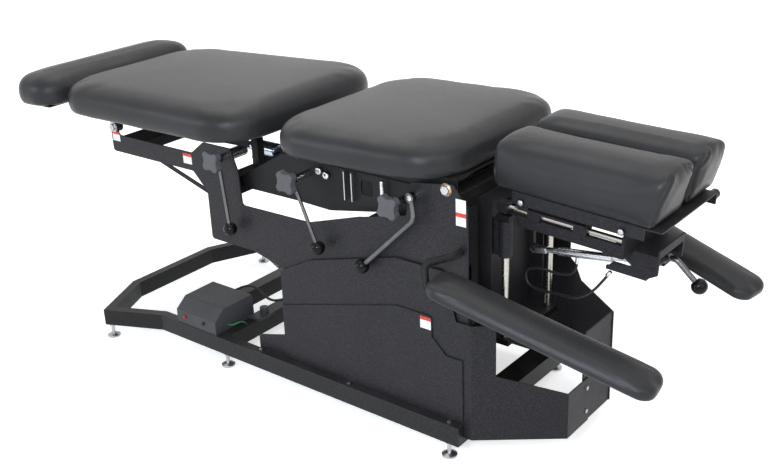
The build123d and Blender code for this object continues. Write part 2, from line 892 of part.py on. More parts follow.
def section_pan(plane, foot, head, half, pivot):
    """A folded pan under a cushion, with side flanges and a hinge ear around the pivot."""
    pivot_local = plane.to_local_coords(Vector(pivot[0], 0, pivot[1]))
    with BuildPart() as pan:
        with BuildSketch(plane.offset(-running_gap)):
            with Locations(((foot + head) / 2, 0)):
                Rectangle(head - foot, 2 * half)
        extrude(amount=-pan_thickness)
        for side in (-1, 1):
            flange_plane = Plane(origin=plane.origin + Vector(0, side * half, 0), x_dir=plane.x_dir, z_dir=(0, -1, 0))
            with BuildSketch(flange_plane):
                with Locations(((foot + head) / 2, -running_gap - pan_flange_depth / 2)):
                    Rectangle(head - foot, pan_flange_depth)
                with Locations((pivot_local.X, pivot_local.Z)):
                    Circle(pivot_ear_radius)
                with Locations((pivot_local.X, (pivot_local.Z - running_gap) / 2)):
                    Rectangle(2 * pivot_ear_radius, abs(pivot_local.Z) - running_gap)
                with Locations((pivot_local.X, pivot_local.Z)):
                    Circle(pivot_radius + screw_gap, mode=Mode.SUBTRACT)
            extrude(amount=pan_thickness * side)
    return pan


cushion_layers_shares = (
    (0.0, 0.08),
    (0.12, 0.018),
    (0.4, 0.0),
    (0.68, 0.036),
    (0.86, 0.134),
    (0.96, 0.3),
    (1.0, 0.56),
)
crown_inset_share = 0.88


def cushion(plane, length, foot_half, head_half, thickness, corner, crown=cushion_crown):
    """An upholstered cushion: tucked in at its board, full at its sides, rolled over and crowned."""
    layers = [(share * thickness, inset_share * corner) for share, inset_share in cushion_layers_shares]
    layers.append((thickness + crown, crown_inset_share * corner))
    with BuildPart() as body:
        for height, inset in layers:
            with BuildSketch(plane.offset(height)):
                with BuildLine():
                    Polyline(
                        (-length / 2 + inset, -foot_half + inset),
                        (length / 2 - inset, -head_half + inset),
                        (length / 2 - inset, head_half - inset),
                        (-length / 2 + inset, foot_half - inset),
                        close=True,
                    )
                make_face()
                fillet(vertices(), radius=corner - inset)
        loft()
    return body


# Leg section
leg_length = leg_head_x - leg_foot_x
leg_cushion = cushion(leg_plane, leg_length, leg_foot_half, leg_head_half, leg_cushion_thickness, cushion_corner)
save(leg_cushion, "leg_cushion")
leg_pan = section_pan(
    leg_plane,
    -leg_length / 2 + pan_inset,
    leg_length / 2 - pan_inset,
    pan_half,
    (leg_pivot_x, leg_pivot_z),
)
save(leg_pan, "leg_pan")

# Thoracic section
thoracic_length = thoracic_head_x - thoracic_foot_x
thoracic_cushion = cushion(
    thoracic_plane,
    thoracic_length,
    thoracic_foot_half,
    thoracic_head_half,
    thoracic_cushion_thickness,
    cushion_corner,
)
save(thoracic_cushion, "thoracic_cushion")
thoracic_pan = section_pan(
    thoracic_plane,
    -thoracic_length / 2 + pan_inset,
    thoracic_length / 2,
    pan_half,
    (thoracic_pivot_x, thoracic_pivot_z),
)
save(thoracic_pan, "thoracic_pan")

# Ankle rest: cushion, pan and two slide tubes that run in sleeve blocks under the leg pan
ankle_length = ankle_head_x - ankle_foot_x
ankle_cushion = cushion(ankle_plane, ankle_length, ankle_half, ankle_half, ankle_cushion_thickness, ankle_corner)
save(ankle_cushion, "ankle_cushion")
ankle_pan_edge = 26.0
sleeve_bore = ankle_tube_radius + actuator_clearance
sleeve_block_height = 2 * (sleeve_bore + sleeve_wall)
sleeve_axis = -running_gap - pan_thickness - sleeve_block_height / 2
sleeve_starts = (-leg_length / 2 + pan_inset, -leg_length / 2 + pan_inset + sleeve_length + ankle_tube_radius)
ankle_tube_start = ankle_foot_x - leg_middle + ankle_pan_edge
saddle_length = 34.0
ankle_saddle_places = (ankle_tube_start + saddle_length, ankle_tube_start + 3 * saddle_length)
with BuildPart() as ankle_sleeves:
    for sleeve_start in sleeve_starts:
        start_plane = Plane(
            origin=leg_plane.from_local_coords(Vector(sleeve_start, 0, sleeve_axis)),
            x_dir=(0, 1, 0),
            z_dir=leg_plane.x_dir,
        )
        with BuildSketch(start_plane):
            with GridLocations(ankle_tube_spacing, 0, 2, 1):
                RectangleRounded(sleeve_block_height, sleeve_block_height, sleeve_wall)
                Circle(sleeve_bore, mode=Mode.SUBTRACT)
        extrude(amount=sleeve_length)
save(ankle_sleeves, "ankle_sleeves")
ankle_pan_top = leg_plane.to_local_coords(ankle_plane.origin).Z - running_gap
with BuildPart() as ankle_bracket:
    with BuildSketch(ankle_plane.offset(-running_gap)):
        Rectangle(ankle_length - 2 * ankle_pan_edge, 2 * (ankle_half - ankle_pan_edge))
    extrude(amount=-pan_thickness)
    tube_plane = Plane(
        origin=leg_plane.from_local_coords(Vector(ankle_tube_start, 0, sleeve_axis)),
        x_dir=(0, 1, 0),
        z_dir=leg_plane.x_dir,
    )
    with BuildSketch(tube_plane):
        with GridLocations(ankle_tube_spacing, 0, 2, 1):
            Circle(ankle_tube_radius)
    extrude(amount=ankle_tube_length)
    for saddle_place in ankle_saddle_places:
        saddle_plane = Plane(
            origin=leg_plane.from_local_coords(Vector(saddle_place, 0, ankle_pan_top - pan_thickness)),
            x_dir=leg_plane.x_dir,
            z_dir=leg_plane.z_dir,
        )
        with BuildSketch(saddle_plane):
            with GridLocations(0, ankle_tube_spacing, 1, 2):
                Rectangle(saddle_length, 2 * ankle_tube_radius)
        extrude(amount=sleeve_axis - ankle_pan_top + pan_thickness)
save(ankle_bracket, "ankle_bracket")

# Control spindles: threaded studs with spacers, on which the levers turn and the star knobs screw
knob_places = (
    (pelvic_knob_x, pelvic_knob_z),
    (thoracic_knob_x, thoracic_knob_z),
    (breakaway_knob_x, breakaway_knob_z),
)
spacer_radius = 9.5
lever_inner_y = lever_y + lever_hub_length / 2
lever_outer_y = lever_y - lever_hub_length / 2
star_inner_y = lever_outer_y - star_clearance
star_face_y = star_inner_y - star_neck_length
star_outer_y = star_face_y - star_thickness
spindle_tip = star_face_y - star_thickness / 2
housing_radius = 14.0
housing_length = 56.0
spindle_feet = (-plate_inner_y, -mechanism_half, -mechanism_half)
spacer_feet = (-plate_outer_y, -mechanism_half - plate_thickness, -mechanism_half - plate_thickness)
spacer_ends = (lever_inner_y + running_gap, lever_inner_y + running_gap, star_inner_y + running_gap)
with BuildPart() as control_spindles:
    for place, foot_y, spacer_y, spacer_end in zip(knob_places, spindle_feet, spacer_feet, spacer_ends):
        with BuildSketch(side_plane(foot_y)):
            with Locations(place):
                Circle(spindle_radius)
        extrude(amount=foot_y - spindle_tip)
        with BuildSketch(side_plane(spacer_y)):
            with Locations(place):
                Circle(spacer_radius)
        extrude(amount=spacer_y - spacer_end)
    with BuildSketch(side_plane(-plate_inner_y)):
        with Locations((breakaway_hub_x, breakaway_hub_z)):
            Circle(spindle_radius)
    extrude(amount=-plate_inner_y - lever_outer_y)
    with BuildSketch(side_plane(-plate_outer_y)):
        with Locations((breakaway_hub_x, breakaway_hub_z)):
            Circle(spacer_radius)
    extrude(amount=-plate_outer_y - lever_inner_y - running_gap)
save(control_spindles, "control_spindles")
with BuildPart() as spring_housings:
    for place, foot_y in zip(knob_places, spindle_feet):
        with BuildSketch(side_plane(foot_y)):
            with Locations(place):
                Circle(housing_radius)
        extrude(amount=-housing_length)
    fillet(edges().filter_by(GeomType.CIRCLE).group_by(Axis.Y)[-1], radius=upper_fillet / 2)
save(spring_housings, "spring_housings")


def star_knob(place):
    """A four-lobed clamping knob at place, its neck towards the lever."""
    with BuildPart() as knob:
        with BuildSketch(side_plane(star_face_y)):
            with Locations(place):
                Circle(star_core_radius)
                with PolarLocations(star_lobe_place, 4, start_angle=star_angle):
                    Circle(star_lobe_radius)
            fillet(vertices(), radius=star_web_radius)
        extrude(amount=star_thickness)
        fillet(faces().sort_by(Axis.Y)[0].edges(), radius=star_edge)
        with BuildSketch(side_plane(star_inner_y)):
            with Locations(place):
                Circle(star_neck_radius)
        extrude(amount=star_neck_length)
        with BuildSketch(side_plane(star_inner_y)):
            with Locations(place):
                Circle(spindle_radius + screw_gap)
        extrude(amount=star_inner_y - spindle_tip + running_gap, mode=Mode.SUBTRACT)
    return knob


knob_names = ("pelvic_tension_knob", "thoracic_tension_knob", "breakaway_tension_knob")
for knob_name, knob_place in zip(knob_names, knob_places):
    save(star_knob(knob_place), knob_name)

# Cocking levers: a hub on its spindle, a rod and a ball knob
ball_socket_depth = 15.0
ball_flat = 3.0


def ball_knob(place, toward, y, rod_radius):
    """A ball knob centred at place with a socket opening towards the lever's hub."""
    direction = Vector(toward[0] - place[0], 0, toward[1] - place[1]).normalized()
    centre = Vector(place[0], y, place[1])
    mouth = Plane(origin=centre + direction * ball_radius, z_dir=direction)
    with BuildPart() as ball:
        with Locations(Plane(origin=centre, z_dir=direction).location):
            Sphere(ball_radius)
        with BuildSketch(mouth.offset(-ball_flat)):
            Circle(ball_radius)
        extrude(amount=2 * ball_flat, mode=Mode.SUBTRACT)
        with BuildSketch(mouth):
            Circle(rod_radius + actuator_clearance)
        extrude(amount=-ball_socket_depth, mode=Mode.SUBTRACT)
    return ball


def lever_rod(points, radius, bend_radius, y):
    """A round rod through points on the plane at y, rounded at its bends."""
    start = Vector(points[0][0], y, points[0][1])
    path_points = [Vector(x, y, z) for x, z in points]
    heading = (path_points[1] - path_points[0]).normalized()
    with BuildPart() as rod:
        with BuildLine():
            if bend_radius:
                FilletPolyline(*path_points, radius=bend_radius)
            else:
                Line(path_points[0], path_points[1])
        with BuildSketch(Plane(origin=start, z_dir=heading)):
            Circle(radius)
        sweep()
    return rod


def shortened(start, end, length):
    """The point on the way from start to end that stops length before the end."""
    run = hypot(end[0] - start[0], end[1] - start[1])
    share = (run - length) / run
    return (start[0] + (end[0] - start[0]) * share, start[1] + (end[1] - start[1]) * share)


def cocking_lever(hub, points, radius, bend_radius):
    """A lever from its hub through points to the ball knob's socket."""
    socket_end = shortened(points[-2], points[-1], ball_radius - ball_socket_depth + running_gap)
    rod = lever_rod([*points[:-1], socket_end], radius, bend_radius, lever_y)
    with BuildPart() as lever:
        add(rod.part)
        with BuildSketch(side_plane(lever_inner_y)):
            with Locations(hub):
                Circle(lever_hub_radius)
        extrude(amount=lever_hub_length)
        with BuildSketch(side_plane(lever_inner_y)):
            with Locations(hub):
                Circle(spindle_radius + screw_gap)
        extrude(amount=lever_hub_length, mode=Mode.SUBTRACT)
    return lever


pelvic_ball = (pelvic_ball_x, pelvic_ball_z)
thoracic_ball = (thoracic_ball_x, thoracic_ball_z)
breakaway_hub = (breakaway_hub_x, breakaway_hub_z)
breakaway_bend = (breakaway_bend_x, breakaway_bend_z)
breakaway_ball = (breakaway_ball_x, breakaway_ball_z)
pelvic_lever = cocking_lever(knob_places[0], [knob_places[0], pelvic_ball], lever_radius, 0)
save(pelvic_lever, "pelvic_lever")
thoracic_lever = cocking_lever(knob_places[1], [knob_places[1], thoracic_ball], lever_radius, 0)
save(thoracic_lever, "thoracic_lever")
breakaway_points = [breakaway_hub, breakaway_bend, breakaway_ball]
breakaway_lever = cocking_lever(breakaway_hub, breakaway_points, breakaway_rod_radius, breakaway_bend_radius)
save(breakaway_lever, "breakaway_lever")
save(ball_knob(pelvic_ball, knob_places[0], lever_y, lever_radius), "pelvic_lever_ball")
save(ball_knob(thoracic_ball, knob_places[1], lever_y, lever_radius), "thoracic_lever_ball")
save(ball_knob(breakaway_ball, breakaway_bend, lever_y, breakaway_rod_radius), "breakaway_lever_ball")

# Air canister with its fitting, lying on the shelf in front of the pelvic cross tube
canister_head = canister_shelf_head - washer_thickness
with BuildPart() as air_canister:
    with BuildSketch(Plane.YZ.offset(canister_head)):
        with Locations((0, canister_z)):
            Circle(canister_radius)
    extrude(amount=-canister_length)
    fillet(edges().filter_by(GeomType.CIRCLE), radius=canister_nose)
    with BuildSketch(Plane.YZ.offset(canister_head - canister_length)):
        with Locations((0, canister_z)):
            Circle(canister_fitting_radius)
    extrude(amount=-canister_fitting_length)
save(air_canister, "air_canister")

# Head column: a folded channel on the two head cross tubes, and guide tubes on webs inside it
column_plate_x = head_tube_x + head_tube_side / 2
column_face_x = column_plate_x + plate_thickness
column_outer_x = column_plate_x + plate_thickness + column_flange_depth
with BuildPart() as head_column_plate:
    with BuildSketch(Plane.XY.offset(column_plate_low)):
        with Locations((column_plate_x + plate_thickness / 2, 0)):
            Rectangle(plate_thickness, 2 * column_plate_half)
        with Locations(((column_plate_x + column_outer_x) / 2, 0)):
            with GridLocations(0, 2 * column_plate_half - sheet_thickness, 1, 2):
                Rectangle(column_outer_x - column_plate_x, sheet_thickness)
    extrude(amount=column_plate_top - column_plate_low)
save(head_column_plate, "head_column_plate")
guide_bore = guide_rod_radius + guide_clearance
web_end_x = guide_x - (guide_tube_radius + guide_bore) / 2
with BuildPart() as guide_tubes:
    with BuildSketch(Plane.XY.offset(guide_tube_low)):
        with Locations((guide_x, 0)):
            with GridLocations(0, 2 * guide_half_spacing, 1, 2):
                Circle(guide_tube_radius)
        with Locations(((column_face_x + web_end_x) / 2, 0)):
            with GridLocations(0, 2 * guide_half_spacing, 1, 2):
                Rectangle(web_end_x - column_face_x, guide_web)
        with Locations((guide_x, 0)):
            with GridLocations(0, 2 * guide_half_spacing, 1, 2):
                Circle(guide_bore, mode=Mode.SUBTRACT)
    extrude(amount=guide_tube_top - guide_tube_low)
save(guide_tubes, "guide_tubes")

# Head carriage: two chromed rods, their lower tie block and the saddle with the tilt lugs and the lock stem
saddle_low = guide_tube_top + saddle_gap
saddle_top = saddle_low + saddle_height
with BuildPart() as guide_rods:
    with BuildSketch(Plane.XY.offset(guide_rod_low)):
        with Locations((guide_x, 0)):
            with GridLocations(0, 2 * guide_half_spacing, 1, 2):
                Circle(guide_rod_radius)
    extrude(amount=saddle_low - guide_rod_low)
save(guide_rods, "guide_rods")
tilt_bore = slide_rod_radius + guide_clearance
tie_block_width = 2 * (guide_half_spacing + guide_tube_radius)
stem_face = stem_thickness / 2
with BuildPart() as carriage_blocks:
    with BuildSketch(Plane.XY.offset(guide_rod_low)):
        with Locations((guide_x, 0)):
            Rectangle(tie_block_depth, tie_block_width)
    extrude(amount=-tie_block_height)
    with BuildSketch(Plane.XY.offset(saddle_low)):
        with Locations((guide_x, 0)):
            Rectangle(tie_block_depth, tie_block_width)
    extrude(amount=saddle_height)
    for lug_y in (-lug_spacing / 2, lug_spacing / 2):
        with BuildSketch(side_plane(lug_y + lug_thickness / 2)):
            with Locations((guide_x, tilt_pivot_z)):
                Circle(lug_radius)
            with Locations((guide_x, (saddle_low + tilt_pivot_z) / 2)):
                Rectangle(2 * lug_radius, tilt_pivot_z - saddle_low)
            with Locations((guide_x, tilt_pivot_z)):
                Circle(tilt_bore, mode=Mode.SUBTRACT)
        extrude(amount=lug_thickness)
    with BuildSketch(side_plane(stem_face)):
        with Locations((lock_foot_x, lock_foot_z)):
            Circle(stem_half)
        with Locations((lock_foot_x - stem_half / 2, (lock_foot_z + saddle_low) / 2)):
            Rectangle(stem_half, saddle_low - lock_foot_z)
    extrude(amount=stem_thickness)
    with BuildSketch(side_plane(stem_face + lock_fork_plate)):
        with Locations((lock_foot_x, lock_foot_z)):
            Circle(lock_pin_radius)
    extrude(amount=stem_thickness + 2 * lock_fork_plate)
save(carriage_blocks, "carriage_blocks")


def head_side(y):
    """A plane facing the near side at y, laid out along the head frame."""
    return Plane(origin=head_plane.origin + Vector(0, y, 0), x_dir=head_plane.x_dir, z_dir=(0, -1, 0))


def head_section(x):
    """A plane across the head frame at x, with X to the far side and Y up."""
    return Plane(origin=head_plane.from_local_coords(Vector(x, 0, 0)), x_dir=(0, 1, 0), z_dir=head_plane.x_dir)


# Tilt frame: side bars, pivot blocks and shaft, end plate and the hanger under its outer end
bar_inner_y = slide_rod_half_spacing - tilt_bar_thickness / 2
bar_outer_y = slide_rod_half_spacing + tilt_bar_thickness / 2
bar_low = tilt_bar_top - tilt_bar_height
lock_eye = head_plane.to_local_coords(Vector(lock_eye_x, 0, lock_eye_z))
with BuildPart() as tilt_frame:
    for bar_y in (-bar_inner_y, bar_outer_y):
        with BuildSketch(head_side(bar_y)):
            with BuildLine():
                Polyline(
                    (0, tilt_bar_top),
                    (tilt_bar_end, tilt_bar_top),
                    (tilt_bar_end, bar_low),
                    (tilt_bar_start, bar_low),
                    (tilt_bar_start, -rod_block_half - pan_thickness),
                    (rod_block_half, -rod_block_half),
                    (0, -rod_block_half),
                    close=True,
                )
            make_face()
        extrude(amount=tilt_bar_thickness)
    for block_y in (-slide_rod_half_spacing + pivot_block_half, slide_rod_half_spacing + pivot_block_half):
        with BuildSketch(head_side(block_y)):
            Rectangle(2 * rod_block_half, 2 * rod_block_half)
        extrude(amount=2 * pivot_block_half)
    shaft_reach = slide_rod_half_spacing - pivot_block_half
    with BuildSketch(head_side(shaft_reach)):
        Circle(slide_rod_radius)
    extrude(amount=2 * shaft_reach)
    with BuildSketch(head_section(-rod_block_half)):
        with GridLocations(2 * slide_rod_half_spacing, 0, 2, 1):
            Circle(slide_rod_radius + screw_gap)
    extrude(amount=2 * rod_block_half, mode=Mode.SUBTRACT)
    with BuildSketch(head_section(tilt_bar_end)):
        with Locations((0, (bar_low + rod_block_half) / 2)):
            Rectangle(2 * bar_outer_y, rod_block_half - bar_low)
    extrude(amount=tilt_end_plate)
    end_plate_face = tilt_bar_end + tilt_end_plate
    with BuildSketch(head_plane.offset(bar_low)):
        with Locations(((hanger_top_start + end_plate_face) / 2, 0)):
            Rectangle(end_plate_face - hanger_top_start, 2 * bar_outer_y)
        with Locations(((hanger_top_start + hanger_top_end) / 2, 0)):
            Rectangle(hanger_top_end - hanger_top_start, 2 * hanger_half)
    extrude(amount=-plate_thickness)
    with BuildSketch(head_section(hanger_top_end)):
        with Locations((0, bar_low - plate_thickness + hanger_lip / 2)):
            Rectangle(2 * hanger_half, hanger_lip)
    extrude(amount=-plate_thickness)
    for cheek_y in (-hanger_half + hanger_cheek, hanger_half):
        with BuildSketch(head_side(cheek_y)):
            with BuildLine():
                Polyline(
                    (hanger_top_start, bar_low - plate_thickness),
                    (hanger_top_end, bar_low - plate_thickness),
                    (hanger_top_end, hanger_shaft_z - lever_shaft_radius),
                    (hanger_shelf_head, hanger_shelf_z),
                    (hanger_shelf_foot, hanger_shelf_z),
                    (hanger_shelf_foot, hanger_shelf_z + plate_thickness),
                    (lock_eye.X - lock_eye_radius, lock_eye.Z + lock_eye_radius),
                    close=True,
                )
            make_face()
        extrude(amount=hanger_cheek)
    with BuildSketch(head_plane.offset(hanger_shelf_z)):
        with Locations(((hanger_shelf_foot + hanger_shelf_head) / 2, 0)):
            with GridLocations(0, 2 * hanger_half - hanger_shelf_width, 1, 2):
                Rectangle(hanger_shelf_head - hanger_shelf_foot, hanger_shelf_width)
    extrude(amount=-plate_thickness)
    pin_reach = hanger_half + washer_thickness
    with BuildSketch(head_side(pin_reach)):
        with Locations((hanger_shaft_x, hanger_shaft_z)):
            Circle(lever_shaft_radius)
        with Locations((lock_eye.X, lock_eye.Z)):
            Circle(lock_pin_radius)
    extrude(amount=2 * pin_reach)
save(tilt_frame, "tilt_frame")
with BuildPart() as slide_rods:
    with BuildSketch(head_section(slide_rod_start)):
        with GridLocations(2 * slide_rod_half_spacing, 0, 2, 1):
            Circle(slide_rod_radius)
    extrude(amount=tilt_bar_end - slide_rod_start)
save(slide_rods, "slide_rods")

# Slide carriage: four bored blocks on the rods, a plate, hinge lugs and drop stops
slide_bore = slide_rod_radius + actuator_clearance
slide_middle = slide_carriage_start + slide_carriage_length / 2
slide_end = slide_carriage_start + slide_carriage_length
slide_plate_start = cervical_pivot_x - slide_lug_radius
slide_plate_top = slide_block_top + plate_thickness
cervical_pivot_z = cervical_pan_top - cervical_pivot_drop
stop_place_x = slide_end - slide_block_length / 2
with BuildPart() as slide_carriage:
    for block_start in (slide_carriage_start, slide_end - slide_block_length):
        with BuildSketch(head_section(block_start)):
            with Locations((0, (slide_block_low + slide_block_top) / 2)):
                with GridLocations(2 * slide_rod_half_spacing, 0, 2, 1):
                    Rectangle(2 * slide_block_half, slide_block_top - slide_block_low)
            with GridLocations(2 * slide_rod_half_spacing, 0, 2, 1):
                Circle(slide_bore, mode=Mode.SUBTRACT)
        extrude(amount=slide_block_length)
    with BuildSketch(head_plane.offset(slide_block_top)):
        with Locations(((slide_plate_start + slide_end) / 2, 0)):
            Rectangle(slide_end - slide_plate_start, 2 * slide_plate_half)
    extrude(amount=plate_thickness)
    for lug_y in (-slide_plate_half + hanger_cheek, slide_plate_half):
        with BuildSketch(head_side(lug_y)):
            with Locations((cervical_pivot_x, cervical_pivot_z)):
                Circle(slide_lug_radius)
            with Locations((cervical_pivot_x, (slide_block_top + cervical_pivot_z) / 2)):
                Rectangle(2 * slide_lug_radius, cervical_pivot_z - slide_block_top)
            with Locations((cervical_pivot_x, cervical_pivot_z)):
                Circle(hanger_cheek + guide_clearance, mode=Mode.SUBTRACT)
        extrude(amount=hanger_cheek)
    with BuildSketch(head_plane.offset(slide_plate_top)):
        with Locations((stop_place_x, 0)):
            with GridLocations(0, slide_plate_half, 1, 2):
                Circle(stop_radius)
    extrude(amount=slide_stop_top - slide_plate_top)
save(slide_carriage, "slide_carriage")

# Cervical pan: plate, folded side flanges, hinge bolts and the lug of the pillow lock
pan_end = cervical_pan_start + cervical_pan_length
pan_low = cervical_pan_top - pan_thickness
flange_low = cervical_pan_top - cervical_flange_depth
cervical_bolt_radius = 8.0
cervical_bolt_reach = cervical_pan_half - slide_plate_half + hanger_cheek
second_bolt_x = 284.0
with BuildPart() as cervical_pan:
    with BuildSketch(head_plane.offset(pan_low)):
        with Locations(((cervical_pan_start + pan_end) / 2, 0)):
            Rectangle(cervical_pan_length, 2 * cervical_pan_half)
    extrude(amount=pan_thickness)
    for flange_y in (-cervical_pan_half + pan_thickness, cervical_pan_half):
        with BuildSketch(head_side(flange_y)):
            with Locations((cervical_pan_start + cervical_flange_length / 2, (cervical_pan_top + flange_low) / 2)):
                Rectangle(cervical_flange_length, cervical_flange_depth)
        extrude(amount=pan_thickness)
    with BuildSketch(head_side(cervical_pan_half)):
        with Locations((pillow_knob_x, (cervical_pan_top + flange_low) / 2)):
            Rectangle(pillow_lug_width, cervical_flange_depth)
    extrude(amount=pan_thickness)
    for bolt_y in (-cervical_pan_half, cervical_pan_half + bolt_head_height):
        with BuildSketch(head_side(bolt_y)):
            with Locations((cervical_pivot_x, cervical_pivot_z), (second_bolt_x, cervical_pivot_z)):
                RegularPolygon(cervical_bolt_radius, 6)
        extrude(amount=bolt_head_height)
    for pin_y in (-cervical_pan_half + cervical_bolt_reach, cervical_pan_half):
        with BuildSketch(head_side(pin_y)):
            with Locations((cervical_pivot_x, cervical_pivot_z)):
                Circle(hanger_cheek)
        extrude(amount=cervical_bolt_reach)
save(cervical_pan, "cervical_pan")
with BuildPart() as pillow_lock_knob:
    with BuildSketch(head_side(cervical_pan_half + pillow_knob_length + pan_thickness)):
        with Locations((pillow_knob_x, pillow_knob_z)):
            Circle(pillow_knob_radius)
    extrude(amount=pillow_knob_length)
    fillet(edges().filter_by(GeomType.CIRCLE), radius=washer_thickness)
    with BuildSketch(head_side(cervical_pan_half + pan_thickness)):
        with Locations((pillow_knob_x, pillow_knob_z)):
            Circle(pillow_knob_stud)
    extrude(amount=pan_thickness)
save(pillow_lock_knob, "pillow_lock_knob")

# Head pillows: full outer sides, a broad top and a slot between the pair
pillow_base = cervical_pan_top + 2 * running_gap
pillow_end = pillow_start + pillow_length
pillow_lean_angle = atan2(pillow_undercut, pillow_thickness)
pillow_turns = [radians(turn) for turn in pillow_edge_angles]


def pillow_section(place, inset, lean):
    """One cross section of the near pillow at place, drawn in by inset and leaning outwards at its top."""
    along = head_plane.x_dir * cos(lean) - head_plane.z_dir * sin(lean)
    origin = head_plane.from_local_coords(Vector(place, 0, pillow_base))
    height = pillow_thickness + pillow_rise * (place - pillow_start) / pillow_length
    section_points = (
        (-pillow_inner - inset, inset),
        (-pillow_outer + pillow_tuck + inset, inset),
        (-pillow_outer + inset, pillow_belly),
        (-pillow_outer + pillow_lean + inset, height - pillow_shoulder_drop - inset),
        (-pillow_crown_y, height + pillow_crown - inset),
        (-pillow_slot_y - inset, height - inset),
        (-pillow_inner - inset, height - pillow_slot_drop - inset),
    )
    with BuildSketch(Plane(origin=origin, x_dir=(0, 1, 0), z_dir=along)) as section:
        with BuildLine():
            FilletPolyline(*section_points, radius=pillow_radii, close=True)
        make_face()
    return section


foot_edge = [(pillow_edge * (1 - cos(turn)), pillow_edge * (1 - sin(turn))) for turn in pillow_turns]
with BuildPart() as near_head_pillow:
    for setback, inset in foot_edge:
        add(pillow_section(pillow_start + setback, inset, 0).sketch)
    for setback, inset in reversed(foot_edge):
        add(pillow_section(pillow_end - pillow_undercut - setback, inset, pillow_lean_angle).sketch)
    loft(ruled=True)
save(near_head_pillow, "near_head_pillow")
with BuildPart() as far_head_pillow:
    mirror(near_head_pillow.part, about=Plane.XZ)
save(far_head_pillow, "far_head_pillow")

# Tilt lock: a barrel with a fork on the carriage stem, its rod and the release cable
lock_run = hypot(lock_eye_x - lock_foot_x, lock_eye_z - lock_foot_z)
lock_dir = Vector((lock_eye_x - lock_foot_x) / lock_run, 0, (lock_eye_z - lock_foot_z) / lock_run)


def lock_section(distance):
    """A plane across the tilt lock at distance from its foot pin."""
    origin = Vector(lock_foot_x, 0, lock_foot_z) + lock_dir * distance
    return Plane(origin=origin, x_dir=(0, 1, 0), z_dir=lock_dir)


def lock_side(y):
    """A plane facing the near side at y, laid out along the tilt lock."""
    return Plane(origin=(lock_foot_x, y, lock_foot_z), x_dir=lock_dir, z_dir=(0, -1, 0))


lock_barrel_end = lock_barrel_start + lock_barrel_length
lock_bore = lock_rod_radius + actuator_clearance
fork_gap = stem_face + running_gap
with BuildPart() as tilt_lock_barrel:
    for fork_y in (-fork_gap, fork_gap + lock_fork_plate - running_gap):
        with BuildSketch(lock_side(fork_y)):
            Circle(lock_neck_radius + washer_thickness)
            with Locations((lock_fork_length / 2, 0)):
                Rectangle(lock_fork_length, 2 * lock_neck_radius)
            Circle(lock_pin_radius + guide_clearance, mode=Mode.SUBTRACT)
        extrude(amount=lock_fork_plate - running_gap)
    with BuildSketch(lock_section(lock_neck_start - running_gap)):
        Rectangle(2 * (fork_gap + lock_fork_plate - running_gap), 2 * lock_neck_radius)
    extrude(amount=lock_fork_length - lock_neck_start + running_gap)
    with BuildSketch(lock_section(lock_fork_length)):
        Circle(lock_neck_radius)
    extrude(amount=lock_barrel_start - lock_fork_length)
    with BuildSketch(lock_section(lock_barrel_start)):
        Circle(lock_barrel_radius)
    extrude(amount=lock_barrel_length)
    with BuildSketch(lock_section(lock_barrel_start + lock_neck_radius)):
        Circle(lock_bore)
    extrude(amount=lock_barrel_length - lock_neck_radius, mode=Mode.SUBTRACT)
    fitting_origin = Vector(lock_foot_x, 0, lock_foot_z) + lock_dir * lock_fitting_place
    fitting_dir = (Vector(*cable_bends[0]) - fitting_origin).normalized()
    with BuildSketch(Plane(origin=fitting_origin + fitting_dir * lock_neck_radius, z_dir=fitting_dir)):
        Circle(lock_fitting_radius)
    extrude(amount=lock_fitting_length)
save(tilt_lock_barrel, "tilt_lock_barrel")
with BuildPart() as tilt_lock_rod:
    with BuildSketch(lock_section(lock_rod_start)):
        Circle(lock_rod_radius)
    extrude(amount=lock_run - lock_rod_start - (lock_eye_bore + lock_eye_radius) / 2)
    with BuildSketch(lock_side(lock_eye_width / 2)):
        with Locations((lock_run, 0)):
            Circle(lock_eye_radius)
            Circle(lock_eye_bore, mode=Mode.SUBTRACT)
    extrude(amount=lock_eye_width)
save(tilt_lock_rod, "tilt_lock_rod")

# Head release lever on the hanger's shaft
head_lever_hub = head_plane.from_local_coords(Vector(hanger_shaft_x, 0, hanger_shaft_z))
head_lever_points = (
    (head_lever_hub.X + head_lever_hub_radius - pan_thickness, head_lever_hub.Z),
    (head_lever_bend_x, head_lever_bend_z),
    (head_ball_x, head_ball_z),
)
head_socket = shortened(head_lever_points[1], head_lever_points[2], ball_radius - ball_socket_depth + running_gap)
head_rod = lever_rod([*head_lever_points[:2], head_socket], breakaway_rod_radius, head_lever_bend_radius, head_lever_y)
with BuildPart() as head_lever:
    add(head_rod.part)
    with BuildSketch(side_plane(head_lever_y + head_lever_hub_length / 2)):
        with Locations((head_lever_hub.X, head_lever_hub.Z)):
            Circle(head_lever_hub_radius)
    extrude(amount=head_lever_hub_length)
    with BuildSketch(side_plane(head_lever_y + head_lever_hub_length / 2)):
        with Locations((head_lever_hub.X, head_lever_hub.Z)):
            Circle(lever_shaft_radius + guide_clearance)
    extrude(amount=head_lever_hub_length, mode=Mode.SUBTRACT)
save(head_lever, "head_lever")
head_ball = ball_knob(head_lever_points[2], head_lever_points[1], head_lever_y, breakaway_rod_radius)
save(head_ball, "head_lever_ball")

